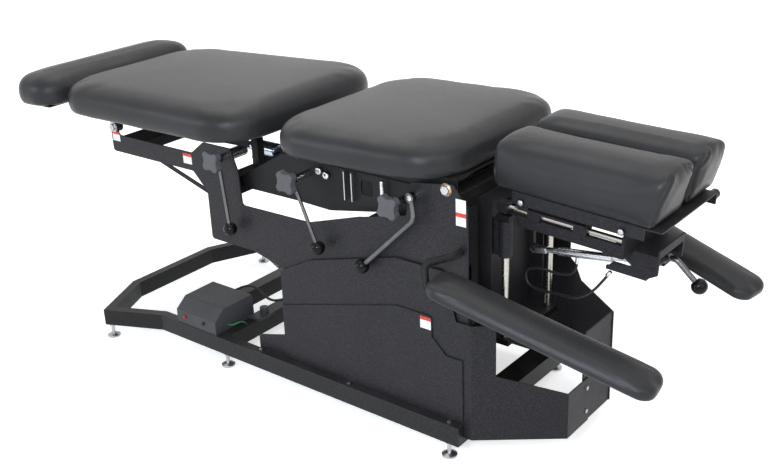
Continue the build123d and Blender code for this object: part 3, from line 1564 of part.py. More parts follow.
# Armrests: a padded board on a plate, carried by a bent tube that turns in the elevating plate
slope = radians(armrest_slope)
toe_in = radians(armrest_toe_in)
armrest_dir = Vector(cos(slope) * cos(toe_in), cos(slope) * sin(toe_in), -sin(slope))
armrest_up = Vector(sin(slope) * cos(toe_in), sin(slope) * sin(toe_in), cos(slope))
armrest_foot = Vector(armrest_foot_x, -armrest_foot_y, armrest_foot_z) - armrest_up * armrest_thickness
armrest_plane = Plane(
    origin=armrest_foot + armrest_dir * (armrest_length / 2),
    x_dir=armrest_dir,
    z_dir=armrest_up,
)
near_armrest_pad = cushion(
    armrest_plane,
    armrest_length,
    armrest_width / 2,
    armrest_width / 2,
    armrest_thickness - armrest_crown,
    armrest_corner,
    armrest_crown,
)
save(near_armrest_pad, "near_armrest_pad")
with BuildPart() as far_armrest_pad:
    mirror(near_armrest_pad.part, about=Plane.XZ)
save(far_armrest_pad, "far_armrest_pad")
armrest_tube_drop = running_gap + plate_thickness + armrest_tube_radius - screw_gap
tube_joint = armrest_plane.from_local_coords(Vector(-armrest_length / 2 - bolt_head_height, 0, -armrest_tube_drop))
tube_end = tube_joint + armrest_dir * armrest_tube_run
with BuildPart() as near_armrest_tube:
    with BuildSketch(armrest_plane.offset(-running_gap)):
        RectangleRounded(
            armrest_length - 2 * armrest_plate_inset,
            2 * armrest_plate_half,
            column_fillet,
        )
    extrude(amount=-plate_thickness)
    with BuildLine():
        FilletPolyline(
            (armrest_pivot_x, -armrest_tube_inner_y, armrest_pivot_z),
            (armrest_pivot_x, -armrest_tube_out_y, armrest_pivot_z),
            (armrest_elbow_x, -armrest_elbow_y, armrest_elbow_z),
            tube_joint,
            tube_end,
            radius=armrest_tube_bend,
        )
    with BuildSketch(Plane(origin=(armrest_pivot_x, -armrest_tube_inner_y, armrest_pivot_z), z_dir=(0, -1, 0))):
        Circle(armrest_tube_radius)
    sweep()
save(near_armrest_tube, "near_armrest_tube")
with BuildPart() as far_armrest_tube:
    mirror(near_armrest_tube.part, about=Plane.XZ)
save(far_armrest_tube, "far_armrest_tube")

# Power pack on the near rail and two cross members: a lid with a sloped face over a tray with a filler cap
pack_width = pack_inner_y - pack_outer_y
pack_length = pack_head_x - pack_foot_x
lid_profile = (
    (pack_inner_y, pack_lid_low),
    (pack_inner_y, pack_top),
    (pack_shoulder_y, pack_top),
    (pack_outer_y, pack_shoulder_z),
    (pack_outer_y, pack_lid_low),
)
hollow_profile = (
    (pack_inner_y - pack_wall, pack_lid_low),
    (pack_inner_y - pack_wall, pack_top - pack_wall),
    (pack_shoulder_y + pack_wall / 2, pack_top - pack_wall),
    (pack_outer_y + pack_wall, pack_shoulder_z - pack_wall / 2),
    (pack_outer_y + pack_wall, pack_lid_low),
)
with BuildPart() as power_pack_lid:
    with BuildSketch(Plane.YZ.offset(pack_foot_x)):
        with BuildLine():
            Polyline(*lid_profile, close=True)
        make_face()
    extrude(amount=pack_length)
    fillet(edges().filter_by(Axis.X).group_by(Axis.Z)[-1], radius=pack_corner)
    with BuildSketch(Plane.YZ.offset(pack_foot_x + pack_wall)):
        with BuildLine():
            Polyline(*hollow_profile, close=True)
        make_face()
    extrude(amount=pack_length - 2 * pack_wall, mode=Mode.SUBTRACT)
save(power_pack_lid, "power_pack_lid")
pack_middle_x = (pack_foot_x + pack_head_x) / 2
pack_middle_y = (pack_inner_y + pack_outer_y) / 2
with BuildPart() as power_pack_tray:
    with BuildSketch(Plane.XY.offset(rail_top)):
        with Locations((pack_middle_x, pack_middle_y)):
            Rectangle(pack_length, pack_width)
        with Locations((pack_head_x + cap_boss / 2, cap_y + (cap_boss - cap_boss_length) / 2)):
            Rectangle(cap_boss, cap_boss_length)
    extrude(amount=pack_lid_low - rail_top)
    with BuildSketch(Plane.XY.offset(pack_lid_low)):
        with Locations((pack_head_x + cap_boss / 2, cap_y)):
            Circle(cap_radius)
    extrude(amount=cap_height)
save(power_pack_tray, "power_pack_tray")


def cord(points, radius, label):
    """A soft cord: straight runs joined by tangent arcs, each as wide as its shorter run allows."""
    corners = [Vector(*point) for point in points]
    runs = [corners[i + 1] - corners[i] for i in range(len(corners) - 1)]
    radii = []
    for i in range(len(runs) - 1):
        half_turn = radians(runs[i].get_angle(runs[i + 1]) / 2)
        radii.append(arc_share * min(runs[i].length, runs[i + 1].length) / tan(half_turn))
    with BuildPart() as body:
        with BuildLine() as path:
            FilletPolyline(*corners, radius=radii)
        with BuildSketch(Plane(origin=corners[0], z_dir=runs[0])):
            Circle(radius)
        sweep()
    length = sum(edge.length for edge in path.line.edges())
    print(label, "radii", [round(bend, 1) for bend in radii], "length", round(length, 1))
    print(label, "volume over section times length", round(body.part.volume / (pi * radius * radius * length), 4))
    return body


arc_share = 0.45
cable_start = fitting_origin + fitting_dir * (lock_neck_radius + lock_fitting_length)
cable_end_z = hanger_shelf_z - plate_thickness - cable_radius - cable_end_gap
cable_end = head_plane.from_local_coords(Vector(hanger_shelf_foot + bolt_head_height, cable_anchor_y, cable_end_z))
tilt_lock_cable = cord([tuple(cable_start), *cable_bends, tuple(cable_end)], cable_radius, "tilt_lock_cable")
save(tilt_lock_cable, "tilt_lock_cable")
supply_start = (supply_start_x, pack_inner_y, supply_bends[0][2])
supply_end = (column_x - outer_column_side / 2, 0, supply_bends[-1][2])
supply_cable = cord([supply_start, *supply_bends, supply_end], supply_radius, "supply_cable")
save(supply_cable, "supply_cable")
earth_wire = cord([wire_start, *wire_bends, wire_end], wire_radius, "earth_wire")
save(earth_wire, "earth_wire")
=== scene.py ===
"""A chiropractic drop table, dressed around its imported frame.

Lengths are metres. +X points to the head end, the near side is -Y and the floor is Z = 0.
"""

import logging
from collections.abc import Callable, Sequence
from dataclasses import dataclass, field
from enum import Enum
from math import cos, pi, radians, sin, tan
from typing import ClassVar

import bmesh
import bpy
import numpy as np
from mathutils import Matrix, Vector
from mathutils.bvhtree import BVHTree


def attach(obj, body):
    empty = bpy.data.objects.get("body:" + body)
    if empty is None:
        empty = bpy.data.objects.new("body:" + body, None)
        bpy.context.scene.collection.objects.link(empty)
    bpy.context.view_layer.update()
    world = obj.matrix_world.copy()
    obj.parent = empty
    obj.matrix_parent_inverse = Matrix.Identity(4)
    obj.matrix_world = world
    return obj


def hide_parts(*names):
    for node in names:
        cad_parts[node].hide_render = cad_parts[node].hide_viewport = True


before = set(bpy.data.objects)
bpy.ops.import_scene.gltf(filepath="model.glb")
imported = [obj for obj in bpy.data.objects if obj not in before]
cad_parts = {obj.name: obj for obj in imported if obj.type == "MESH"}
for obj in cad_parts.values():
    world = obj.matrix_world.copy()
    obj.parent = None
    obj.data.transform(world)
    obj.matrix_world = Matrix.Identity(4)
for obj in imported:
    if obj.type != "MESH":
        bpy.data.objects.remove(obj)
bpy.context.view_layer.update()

log = logging.getLogger("drop_table")

Colour = tuple[float, float, float]
Point = tuple[float, float, float]
Profile = tuple[tuple[float, float], ...]
Outline = list[Vector]

BLACK: Colour = (0.0, 0.0, 0.0)
WHITE: Colour = (1.0, 1.0, 1.0)


class Slot(Enum):
    """Material slot names, one carried by each finish."""

    FRAME = "frame_coat"
    RAIL = "rail_coat"
    VINYL = "vinyl"
    CHROME = "chromed"
    ZINC = "zinc"
    LOCK = "lock_steel"
    CANISTER = "canister_metal"
    KNOB = "knob_plastic"
    BALL = "ball_plastic"
    PACK = "pack_plastic"
    CABLE = "cable_rubber"
    EARTH = "earth_green"


class Side(Enum):
    """The near side faces the camera."""

    NEAR = -1
    FAR = 1

    @property
    def word(self) -> str:
        """Returns the side's word in the names of pieces."""
        return self.name.lower()


# ---------------------------------------------------------------- shader graphs


class Graph:
    """Adds nodes and links to one node tree."""

    def __init__(self, tree: bpy.types.NodeTree) -> None:
        """Keeps the tree."""
        self.tree = tree

    def node(self, kind: str, inputs: dict | None = None, **settings: object) -> bpy.types.Node:
        """Adds one node.

        Args:
            kind: Blender's name for the node type.
            inputs: Socket name or number to a constant or to the socket that feeds it.
            **settings: Attributes of the node itself.

        Returns:
            The new node.
        """
        made = self.tree.nodes.new(kind)
        for key, value in settings.items():
            setattr(made, key, value)
        for key, value in (inputs or {}).items():
            self._put(value, made.inputs[key])
        return made

    def _put(self, value: object, socket: bpy.types.NodeSocket) -> None:
        """Links a socket to another, or sets it to a constant.

        Args:
            value: A constant, or the socket that feeds.
            socket: The input that is fed or set.
        """
        if isinstance(value, bpy.types.NodeSocket):
            self.tree.links.new(value, socket)
        else:
            socket.default_value = value

    def feed(self, target: bpy.types.Node, **sockets: bpy.types.NodeSocket) -> None:
        """Links sockets to a node's inputs.

        Args:
            target: The node that is fed.
            **sockets: Input names, with _ for a space, to the sockets that feed them.
        """
        for key, value in sockets.items():
            self.tree.links.new(value, target.inputs[key.replace("_", " ")])

    def place(self) -> bpy.types.NodeSocket:
        """Returns the object's own coordinates."""
        return self.node("ShaderNodeTexCoord").outputs["Object"]

    def noise(self, place: object, scale: object, detail: float) -> bpy.types.NodeSocket:
        """Adds a noise texture.

        Args:
            place: The coordinates' socket.
            scale: A number or socket.
            detail: How many octaves it has.

        Returns:
            The noise value's socket.
        """
        inputs = {"Vector": place, "Scale": scale, "Detail": detail}
        return self.node("ShaderNodeTexNoise", inputs).outputs[0]

    def math(self, operation: str, first: object, second: object = 0.0) -> bpy.types.NodeSocket:
        """Adds a Math node.

        Args:
            operation: The node's operation.
            first: A number or socket.
            second: A number or socket.

        Returns:
            The node's value socket.
        """
        return self.node("ShaderNodeMath", {0: first, 1: second}, operation=operation).outputs[0]

    def spread(
        self, value: object, low: float, high: float, to_low: float, to_high: float
    ) -> bpy.types.NodeSocket:
        """Maps a value from one range to another, held at both ends.

        Args:
            value: The socket to map.
            low: Start of the range read.
            high: End of the range read.
            to_low: What the start becomes.
            to_high: What the end becomes.

        Returns:
            The mapped value's socket.
        """
        inputs = {0: value, 1: low, 2: high, 3: to_low, 4: to_high}
        return self.node("ShaderNodeMapRange", inputs).outputs[0]

    def blend(self, share: object, first: object, second: object) -> bpy.types.NodeSocket:
        """Mixes two colours.

        Args:
            share: How much of the second colour shows, a number or socket.
            first: A colour or socket.
            second: A colour or socket.

        Returns:
            The mixed colour's socket.
        """
        made = self.tree.nodes.new("ShaderNodeMix")
        made.data_type = "RGBA"
        colours = [socket for socket in made.inputs if socket.type == "RGBA"]
        for socket, value in zip((made.inputs[0], *colours), (share, first, second)):
            self._put((*value, 1.0) if isinstance(value, tuple) else value, socket)
        return [socket for socket in made.outputs if socket.type == "RGBA"][0]

    def backdrop(self) -> bpy.types.NodeSocket:
        """Finds where the camera, metal or glass sees the background.

        Returns:
            A socket that is 1 there and 0 elsewhere.
        """
        path = self.node("ShaderNodeLightPath")
        seen = self.math("MAXIMUM", path.outputs["Is Camera Ray"], path.outputs["Is Glossy Ray"])
        return self.math("MAXIMUM", seen, path.outputs["Is Transmission Ray"])

    def group(self, tree: bpy.types.NodeTree, **values: object) -> bpy.types.Node:
        """Places a node group.

        Args:
            tree: The group.
            **values: Input names, with _ for a space, to numbers or sockets.

        Returns:
            The group node.
        """
        made = self.tree.nodes.new("ShaderNodeGroup")
        made.node_tree = tree
        for key, value in values.items():
            self._put(value, made.inputs[key.replace("_", " ")])
        return made


class EffectGroups:
    """The shader node groups that the finishes share, each built once."""

    def __init__(self) -> None:
        """Builds every group."""
        self.speckle = self._speckle()
        self.leather = self._leather()
        self.edges = self._edges()
        self.dust = self._dust()
        self.scratches = self._scratches()

    @staticmethod
    def _begin(
        name: str, inputs: dict[str, float], outputs: Sequence[str]
    ) -> tuple[bpy.types.NodeTree, Graph, bpy.types.Node, bpy.types.Node]:
        """Starts a group.

        Args:
            name: The group's name.
            inputs: Input names with their defaults.
            outputs: Output names; one called Normal is a vector.

        Returns:
            The tree, its graph, its input node and its output node.
        """
        tree = bpy.data.node_groups.new(name, "ShaderNodeTree")
        number, vector = "NodeSocketFloat", "NodeSocketVector"
        for label, default in inputs.items():
            socket = tree.interface.new_socket(name=label, in_out="INPUT", socket_type=number)
            socket.default_value = default
        for label in outputs:
            kind = vector if label == "Normal" else number
            tree.interface.new_socket(name=label, in_out="OUTPUT", socket_type=kind)
        graph = Graph(tree)
        return tree, graph, graph.node("NodeGroupInput"), graph.node("NodeGroupOutput")

    def _speckle(self) -> bpy.types.NodeTree:
        """Builds an even grain with slow clouds, as on powder coat and moulded plastic.

        Returns:
            The group's tree.
        """
        inputs = {"Scale": 900.0, "Cloud Scale": 9.0}
        tree, graph, given, put = self._begin("fine speckle", inputs, ("Height", "Cloud"))
        place = graph.place()
        grain = graph.noise(place, given.outputs["Scale"], 3.0)
        cloud = graph.noise(place, given.outputs["Cloud Scale"], 4.0)
        graph.feed(put, Height=grain, Cloud=cloud)
        return tree

    def _leather(self) -> bpy.types.NodeTree:
        """Builds the embossed cells of upholstery vinyl, with soft pulls and a cloudy tone.

        Returns:
            The group's tree.
        """
        inputs = {"Scale": 620.0, "Pull Scale": 26.0}
        outputs = ("Height", "Crease", "Cloud")
        tree, graph, given, put = self._begin("vinyl emboss", inputs, outputs)
        place = graph.place()
        stir = graph.node("ShaderNodeTexNoise", {"Vector": place, "Scale": 240.0, "Detail": 2.0})
        moved = graph.node(
            "ShaderNodeMixRGB", {0: 0.004, 1: place, 2: stir.outputs["Color"]}, blend_type="ADD"
        )
        cells = graph.node(
            "ShaderNodeTexVoronoi",
            {"Vector": moved.outputs[0], "Scale": given.outputs["Scale"]},
            feature="DISTANCE_TO_EDGE",
        )
        crease = graph.spread(cells.outputs["Distance"], 0.0, 0.22, 0.0, 1.0)
        pull = graph.noise(place, given.outputs["Pull Scale"], 3.0)
        fine, broad = graph.math("MULTIPLY", crease, 0.35), graph.math("MULTIPLY", pull, 0.65)
        cloud = graph.noise(place, 5.0, 5.0)
        graph.feed(put, Height=graph.math("ADD", fine, broad), Crease=crease, Cloud=cloud)
        return tree

    def _edges(self) -> bpy.types.NodeTree:
        """Builds softened normals and a broken mask along sharp edges, where paint thins; on powder
        coat the mask also carries a painted edge highlight.

        Returns:
            The group's tree.
        """
        inputs = {"Radius": 0.001, "Break Scale": 60.0}
        tree, graph, given, put = self._begin("chipped and highlighted edges", inputs, ("Normal", "Mask"))
        soft = graph.node("ShaderNodeBevel", {"Radius": given.outputs["Radius"]}, samples=4)
        true = graph.node("ShaderNodeNewGeometry").outputs["True Normal"]
        turned = graph.node(
            "ShaderNodeVectorMath", {0: soft.outputs[0], 1: true}, operation="DOT_PRODUCT"
        )
        bent = graph.spread(turned.outputs["Value"], 0.72, 0.98, 1.0, 0.0)
        breaks = graph.noise(graph.place(), given.outputs["Break Scale"], 6.0)
        chipped = graph.spread(breaks, 0.45, 0.72, 0.15, 1.0)
        mask = graph.math("MULTIPLY", bent, chipped)
        graph.feed(put, Normal=soft.outputs[0], Mask=mask)
        return tree

    def _dust(self) -> bpy.types.NodeTree:
        """Builds a mask of dust that settles on faces turned up.

        Returns:
            The group's tree.
        """
        inputs = {"Amount": 0.2, "Scale": 14.0}
        tree, graph, given, put = self._begin("settled dust", inputs, ("Mask",))
        normal = graph.node("ShaderNodeNewGeometry").outputs["Normal"]
        up = graph.node("ShaderNodeSeparateXYZ", {0: normal}).outputs["Z"]
        flat = graph.spread(up, 0.55, 1.0, 0.0, 1.0)
        patches = graph.noise(graph.place(), given.outputs["Scale"], 6.0)
        thick = graph.math("MULTIPLY", flat, graph.spread(patches, 0.35, 0.75, 0.2, 1.0))
        graph.feed(put, Mask=graph.math("MULTIPLY", thick, given.outputs["Amount"]))
        return tree

    def _scratches(self) -> bpy.types.NodeTree:
        """Builds long hairline scratches and a cloudy tone, as on polished and plated metal.

        Returns:
            The group's tree.
        """
        inputs = {"Scale": 30.0, "Stretch": 18.0}
        tree, graph, given, put = self._begin("hairlines", inputs, ("Height", "Cloud"))
        place = graph.place()
        scale = given.outputs["Scale"]
        fine = graph.math("MULTIPLY", scale, given.outputs["Stretch"])
        pulled = graph.node("ShaderNodeCombineXYZ", {0: scale, 1: fine, 2: fine}).outputs[0]
        stretched = graph.node("ShaderNodeVectorMath", {0: place, 1: pulled}, operation="MULTIPLY")
        lines = graph.noise(stretched.outputs[0], 1.0, 4.0)
        graph.feed(put, Height=lines, Cloud=graph.noise(place, 22.0, 4.0))
        return tree


GROUPS = EffectGroups()
MADE: dict[str, bpy.types.Material] = {}


def shaded(colour: Colour, share: float) -> Colour:
    """Returns a colour with each part multiplied by a share."""
    return tuple(share * part for part in colour)


@dataclass(frozen=True)
class Finish:
    """A named finish; each kind wires its own material around one Principled shader."""

    name: str
    slot: Slot
    colour: Colour
    roughness: float

    def material(self) -> bpy.types.Material:
        """Makes the finish's material at its first use.

        Returns:
            The material.
        """
        if self.name not in MADE:
            made = bpy.data.materials.new(self.name)
            made.use_nodes = True
            made.node_tree.nodes.clear()
            graph = Graph(made.node_tree)
            shader = graph.node("ShaderNodeBsdfPrincipled")
            graph.feed(graph.node("ShaderNodeOutputMaterial"), Surface=shader.outputs[0])
            made.diffuse_color = (*self.colour, 1.0)
            self.wire(graph, shader)
            MADE[self.name] = made
        return MADE[self.name]

    def wire(self, graph: Graph, shader: bpy.types.Node) -> None:
        """Feeds the shader; each kind of finish has its own way.

        Args:
            graph: The material's graph.
            shader: Its Principled shader.
        """
        raise NotImplementedError

    @staticmethod
    def bump(
        graph: Graph, height: object, depth: float, strength: float, normal: object = None
    ) -> bpy.types.NodeSocket:
        """Adds a Bump node.

        Args:
            graph: The material's graph.
            height: The height socket.
            depth: What a height of 1 stands for, in metres.
            strength: The share of the effect.
            normal: The normal socket that it starts from.

        Returns:
            The bumped normal's socket.
        """
        inputs = {"Strength": strength, "Distance": depth, "Height": height}
        if normal is not None:
            inputs["Normal"] = normal
        return graph.node("ShaderNodeBump", inputs).outputs[0]


@dataclass(frozen=True)
class PowderCoat(Finish):
    """Fine textured paint over steel, lighter along its edges, with edge wear and a painted edge
    highlight, and under settled dust.
    """

    # The lighter edge tone is edge wear and a painted edge highlight.
    lighter_edge: Colour = (0.10, 0.10, 0.11)
    edge_wear_and_highlight: float = 0.4
    dust: float = 0.06
    dust_tone: Colour = (0.34, 0.33, 0.31)
    edge: float = 0.0012
    grain: float = 330.0
    cloud: float = 7.0
    depth: float = 0.0003
    relief: float = 0.6
    gloss: float = 0.22
    swing: float = 0.06
    darker: float = 0.72
    lighter: float = 1.25
    pitted: float = 3.4

    def wire(self, graph: Graph, shader: bpy.types.Node) -> None:
        """Feeds colour, roughness and normal from speckle, edge and dust masks.

        Args:
            graph: The material's graph.
            shader: Its Principled shader.
        """
        speckle = graph.group(GROUPS.speckle, Scale=self.grain, Cloud_Scale=self.cloud)
        edges = graph.group(GROUPS.edges, Radius=self.edge)
        dust = graph.group(GROUPS.dust, Amount=self.dust)
        height, cloud = speckle.outputs["Height"], speckle.outputs["Cloud"]
        darker, lighter = shaded(self.colour, self.darker), shaded(self.colour, self.lighter)
        base = graph.blend(cloud, darker, lighter)
        pits = graph.spread(height, 0.46, 0.60, 0.0, 0.7)
        base = graph.blend(pits, base, shaded(self.colour, self.pitted))
        # Edge wear and a painted edge highlight: sharp edges are blended towards the lighter edge
        # tone.
        edge_wear_and_highlight_mask = graph.math("MULTIPLY", edges.outputs["Mask"], self.edge_wear_and_highlight)
        base = graph.blend(edge_wear_and_highlight_mask, base, self.lighter_edge)
        base = graph.blend(dust.outputs["Mask"], base, self.dust_tone)
        low, high = self.roughness - self.swing, self.roughness + self.swing
        rough = graph.spread(cloud, 0.3, 0.7, low, high)
        normal = self.bump(graph, height, self.depth, self.relief, edges.outputs["Normal"])
        graph.feed(shader, Base_Color=base, Roughness=rough, Normal=normal)
        shader.inputs["Specular IOR Level"].default_value = self.gloss


@dataclass(frozen=True)
class Upholstery(Finish):
    """Satin vinyl with an embossed grain, soft pulls and painted shade in the grain's creases."""

    light: Colour = (0.032, 0.032, 0.035)
    # Painted shade: the darker tone laid in the creases of the grain.
    crease: Colour = (0.018, 0.018, 0.018)
    crease_shade_share: float = 0.35
    crease_roughness: float = 0.1
    dust: float = 0.045
    dust_scale: float = 9.0
    dust_tone: Colour = (0.2, 0.2, 0.2)
    depth: float = 0.0005
    relief: float = 0.35
    scale: float = 620.0
    gloss: float = 0.18

    def wire(self, graph: Graph, shader: bpy.types.Node) -> None:
        """Feeds colour, roughness and normal from the emboss.

        Args:
            graph: The material's graph.
            shader: Its Principled shader.
        """
        emboss = graph.group(GROUPS.leather, Scale=self.scale)
        dust = graph.group(GROUPS.dust, Amount=self.dust, Scale=self.dust_scale)
        cell = emboss.outputs["Crease"]
        tone = graph.spread(emboss.outputs["Cloud"], 0.3, 0.7, 0.0, 1.0)
        base = graph.blend(tone, self.colour, self.light)
        # Painted shade: the creases between the grain's cells are darkened.
        shaded_gaps = graph.math("MULTIPLY", graph.math("SUBTRACT", 1.0, cell), self.crease_shade_share)
        base = graph.blend(shaded_gaps, base, self.crease)
        base = graph.blend(dust.outputs["Mask"], base, self.dust_tone)
        rougher = self.roughness + self.crease_roughness
        rough = graph.spread(cell, 0.0, 1.0, rougher, self.roughness)
        normal = self.bump(graph, emboss.outputs["Height"], self.depth, self.relief)
        graph.feed(shader, Base_Color=base, Roughness=rough, Normal=normal)
        shader.inputs["Specular IOR Level"].default_value = self.gloss


@dataclass(frozen=True)
class Metal(Finish):
    """Bare, plated or polished metal with hairlines and a mottled tone."""

    dull: Colour = (0.3, 0.3, 0.31)
    mottle: float = 0.3
    scale: float = 40.0
    stretch: float = 14.0
    edge: float = 0.0006
    depth: float = 0.00004
    relief: float = 0.35
    swing: float = 0.14

    def wire(self, graph: Graph, shader: bpy.types.Node) -> None:
        """Feeds colour, roughness and normal from the hairlines.

        Args:
            graph: The material's graph.
            shader: Its Principled shader.
        """
        lines = graph.group(GROUPS.scratches, Scale=self.scale, Stretch=self.stretch)
        edges = graph.group(GROUPS.edges, Radius=self.edge)
        height = lines.outputs["Height"]
        patches = graph.spread(lines.outputs["Cloud"], 0.42, 0.7, 0.0, self.mottle)
        base = graph.blend(patches, self.colour, self.dull)
        rough = graph.spread(height, 0.3, 0.7, self.roughness, self.roughness + self.swing)
        normal = self.bump(graph, height, self.depth, self.relief, edges.outputs["Normal"])
        graph.feed(shader, Base_Color=base, Roughness=rough, Normal=normal)
        shader.inputs["Metallic"].default_value = 1.0


@dataclass(frozen=True)
class Plastic(Finish):
    """Moulded plastic or rubber with a fine spark texture."""

    gloss: float = 0.25
    coat: float = 0.0
    coat_roughness: float = 0.06
    grain: float = 1500.0
    cloud: float = 16.0
    depth: float = 0.00008
    relief: float = 0.5
    edge: float = 0.0008
    dust: float = 0.06
    dust_tone: Colour = (0.36, 0.35, 0.33)
    darker: float = 0.82
    lighter: float = 1.22
    rubbed: float = 2.2
    rubbed_share: float = 0.3

    def wire(self, graph: Graph, shader: bpy.types.Node) -> None:
        """Feeds colour, roughness and normal from speckle and edges.

        Args:
            graph: The material's graph.
            shader: Its Principled shader.
        """
        speckle = graph.group(GROUPS.speckle, Scale=self.grain, Cloud_Scale=self.cloud)
        edges = graph.group(GROUPS.edges, Radius=self.edge)
        dust = graph.group(GROUPS.dust, Amount=self.dust)
        cloud = speckle.outputs["Cloud"]
        darker, lighter = shaded(self.colour, self.darker), shaded(self.colour, self.lighter)
        rubbed = tuple(min(1.0, part) for part in shaded(self.colour, self.rubbed))
        base = graph.blend(cloud, darker, lighter)
        lighter_edge = graph.math("MULTIPLY", edges.outputs["Mask"], self.rubbed_share)
        base = graph.blend(lighter_edge, base, rubbed)
        base = graph.blend(dust.outputs["Mask"], base, self.dust_tone)
        rough = graph.spread(cloud, 0.3, 0.7, self.roughness - 0.04, self.roughness + 0.06)
        height = speckle.outputs["Height"]
        normal = self.bump(graph, height, self.depth, self.relief, edges.outputs["Normal"])
        graph.feed(shader, Base_Color=base, Roughness=rough, Normal=normal)
        shader.inputs["Specular IOR Level"].default_value = self.gloss
        shader.inputs["Coat Weight"].default_value = self.coat
        shader.inputs["Coat Roughness"].default_value = self.coat_roughness


FRAME_COAT = PowderCoat("frame coat", Slot.FRAME, (0.0085, 0.0081, 0.0100), 0.48)
# The rail coat's strong, light edges are edge wear and a painted edge highlight.
RAIL_COAT = PowderCoat(
    "rail coat", Slot.RAIL, (0.0065, 0.0065, 0.0070), 0.40, lighter_edge=(0.17, 0.17, 0.18), edge_wear_and_highlight=0.7
)
INNER_COAT = PowderCoat("inner coat", Slot.FRAME, (0.0030, 0.0030, 0.0034), 0.55, edge_wear_and_highlight=0.3)
VINYL = Upholstery("satin vinyl", Slot.VINYL, (0.022, 0.022, 0.0235), 0.27)
THREAD = Plastic("seam thread", Slot.VINYL, (0.03, 0.03, 0.03), 0.6, grain=2600.0)
CHROME = Metal("bright chrome", Slot.CHROME, (0.55, 0.55, 0.55), 0.08, mottle=0.15)
ROD_STEEL = Metal("warm rod steel", Slot.CHROME, (0.42, 0.40, 0.36), 0.2, mottle=0.25)
LEVER_STEEL = Metal(
    "lever steel", Slot.CHROME, (0.125, 0.125, 0.13), 0.24, dull=(0.065, 0.065, 0.07), mottle=0.5
)
ZINC = Metal("zinc plate", Slot.ZINC, (0.44, 0.44, 0.46), 0.24, mottle=0.35)
LOCK_STEEL = Metal("brushed lock steel", Slot.LOCK, (0.58, 0.59, 0.62), 0.2, mottle=0.25)
CANISTER = Metal("canister plate", Slot.CANISTER, (0.42, 0.48, 0.56), 0.16, mottle=0.2)
BRONZE = Metal("bronze washer", Slot.ZINC, (0.50, 0.33, 0.20), 0.3, mottle=0.3)
SPRING_STEEL = Metal("spring steel", Slot.LOCK, (0.48, 0.48, 0.5), 0.25, mottle=0.4)
KNOB_GREY = Plastic("knob plastic", Slot.KNOB, (0.085, 0.085, 0.092), 0.42)
BALL_BLACK = Plastic(
    "ball plastic", Slot.BALL, (0.004, 0.004, 0.0045), 0.16, gloss=0.1, coat=0.1, depth=0.00002
)
PACK_GREY = Plastic(
    "pack plastic", Slot.PACK, (0.055, 0.055, 0.060), 0.5, depth=0.00014, grain=1200.0
)
RUBBER = Plastic("cable rubber", Slot.CABLE, (0.014, 0.014, 0.014), 0.48)
EARTH_GREEN = Plastic("earth wire green", Slot.EARTH, (0.045, 0.22, 0.10), 0.42)
LABEL_WHITE = Plastic(
    "label white", Slot.FRAME, (0.88, 0.88, 0.88), 0.35, dust=0.02, depth=0.00001
)
LABEL_RED = Plastic("label red", Slot.FRAME, (0.72, 0.055, 0.035), 0.35, dust=0.02, depth=0.00001)
PORT_RED = Plastic("port red", Slot.PACK, (0.45, 0.02, 0.02), 0.3)


# ---------------------------------------------------------------- mesh helpers

LEAST_RADIUS = 0.00005
CORD_ROUNDNESS = 6
CORD_STEPS = 16
CORD_ORDER = 3


def filleted(
    corners: Sequence[tuple[float, float]], radii: Sequence[float], steps: int
) -> Outline:
    """Rounds each corner of a closed outline with its own radius.

    Args:
        corners: The outline's corners in order.
        radii: One radius for each corner.
        steps: Runs along each arc.

    Returns:
        The rounded outline's points, as many for any radii.
    """
    points = [Vector((a, b)) for a, b in corners]
    outline: Outline = []
    for place, corner in enumerate(points):
        before = (points[place - 1] - corner).normalized()
        after = (points[(place + 1) % len(points)] - corner).normalized()
        half = before.angle(after) / 2
        centre = corner + (before + after).normalized() * radii[place] / sin(half)
        start = corner + before * radii[place] / tan(half) - centre
        end = corner + after * radii[place] / tan(half) - centre
        for step in range(steps + 1):
            ray = start.lerp(end, step / steps).normalized()
            outline.append(centre + ray * radii[place])
    return outline


def mesh_object(
    name: str, points: Sequence[Vector], faces: Sequence[Sequence[int]]
) -> bpy.types.Object:
    """Makes a smooth mesh object from points and faces.

    Args:
        name: The piece's name.
        points: Its corners in metres.
        faces: Corner numbers of each face.

    Returns:
        The new object.
    """
    mesh = bpy.data.meshes.new(name)
    mesh.from_pydata([tuple(point) for point in points], [], [tuple(face) for face in faces])
    form = bmesh.new()
    form.from_mesh(mesh)
    bmesh.ops.recalc_face_normals(form, faces=form.faces)
    form.to_mesh(mesh)
    form.free()
    mesh.shade_smooth()
    made = bpy.data.objects.new(name, mesh)
    bpy.context.scene.collection.objects.link(made)
    return made


def tube_faces(first: int, sides: int, rows: int) -> list[Sequence[int]]:
    """Numbers the faces of a capped tube.

    Args:
        first: Number of its first point.
        sides: Points in each ring.
        rows: How many rings there are.

    Returns:
        Corner numbers of each face.
    """
    faces: list[Sequence[int]] = []
    for low in range(first, first + (rows - 1) * sides, sides):
        high = low + sides
        for place in range(sides):
            following = (place + 1) % sides
            faces.append((low + place, low + following, high + following, high + place))
    last = first + (rows - 1) * sides
    return [*faces, range(first, first + sides), range(last, last + sides)]


def lofted(name: str, rings: Sequence[Sequence[Vector]]) -> bpy.types.Object:
    """Skins closed rings with as many points each, and caps both ends.

    Args:
        name: The piece's name.
        rings: The rings in order.

    Returns:
        The closed object.
    """
    points = [point for ring in rings for point in ring]
    return mesh_object(name, points, tube_faces(0, len(rings[0]), len(rings)))


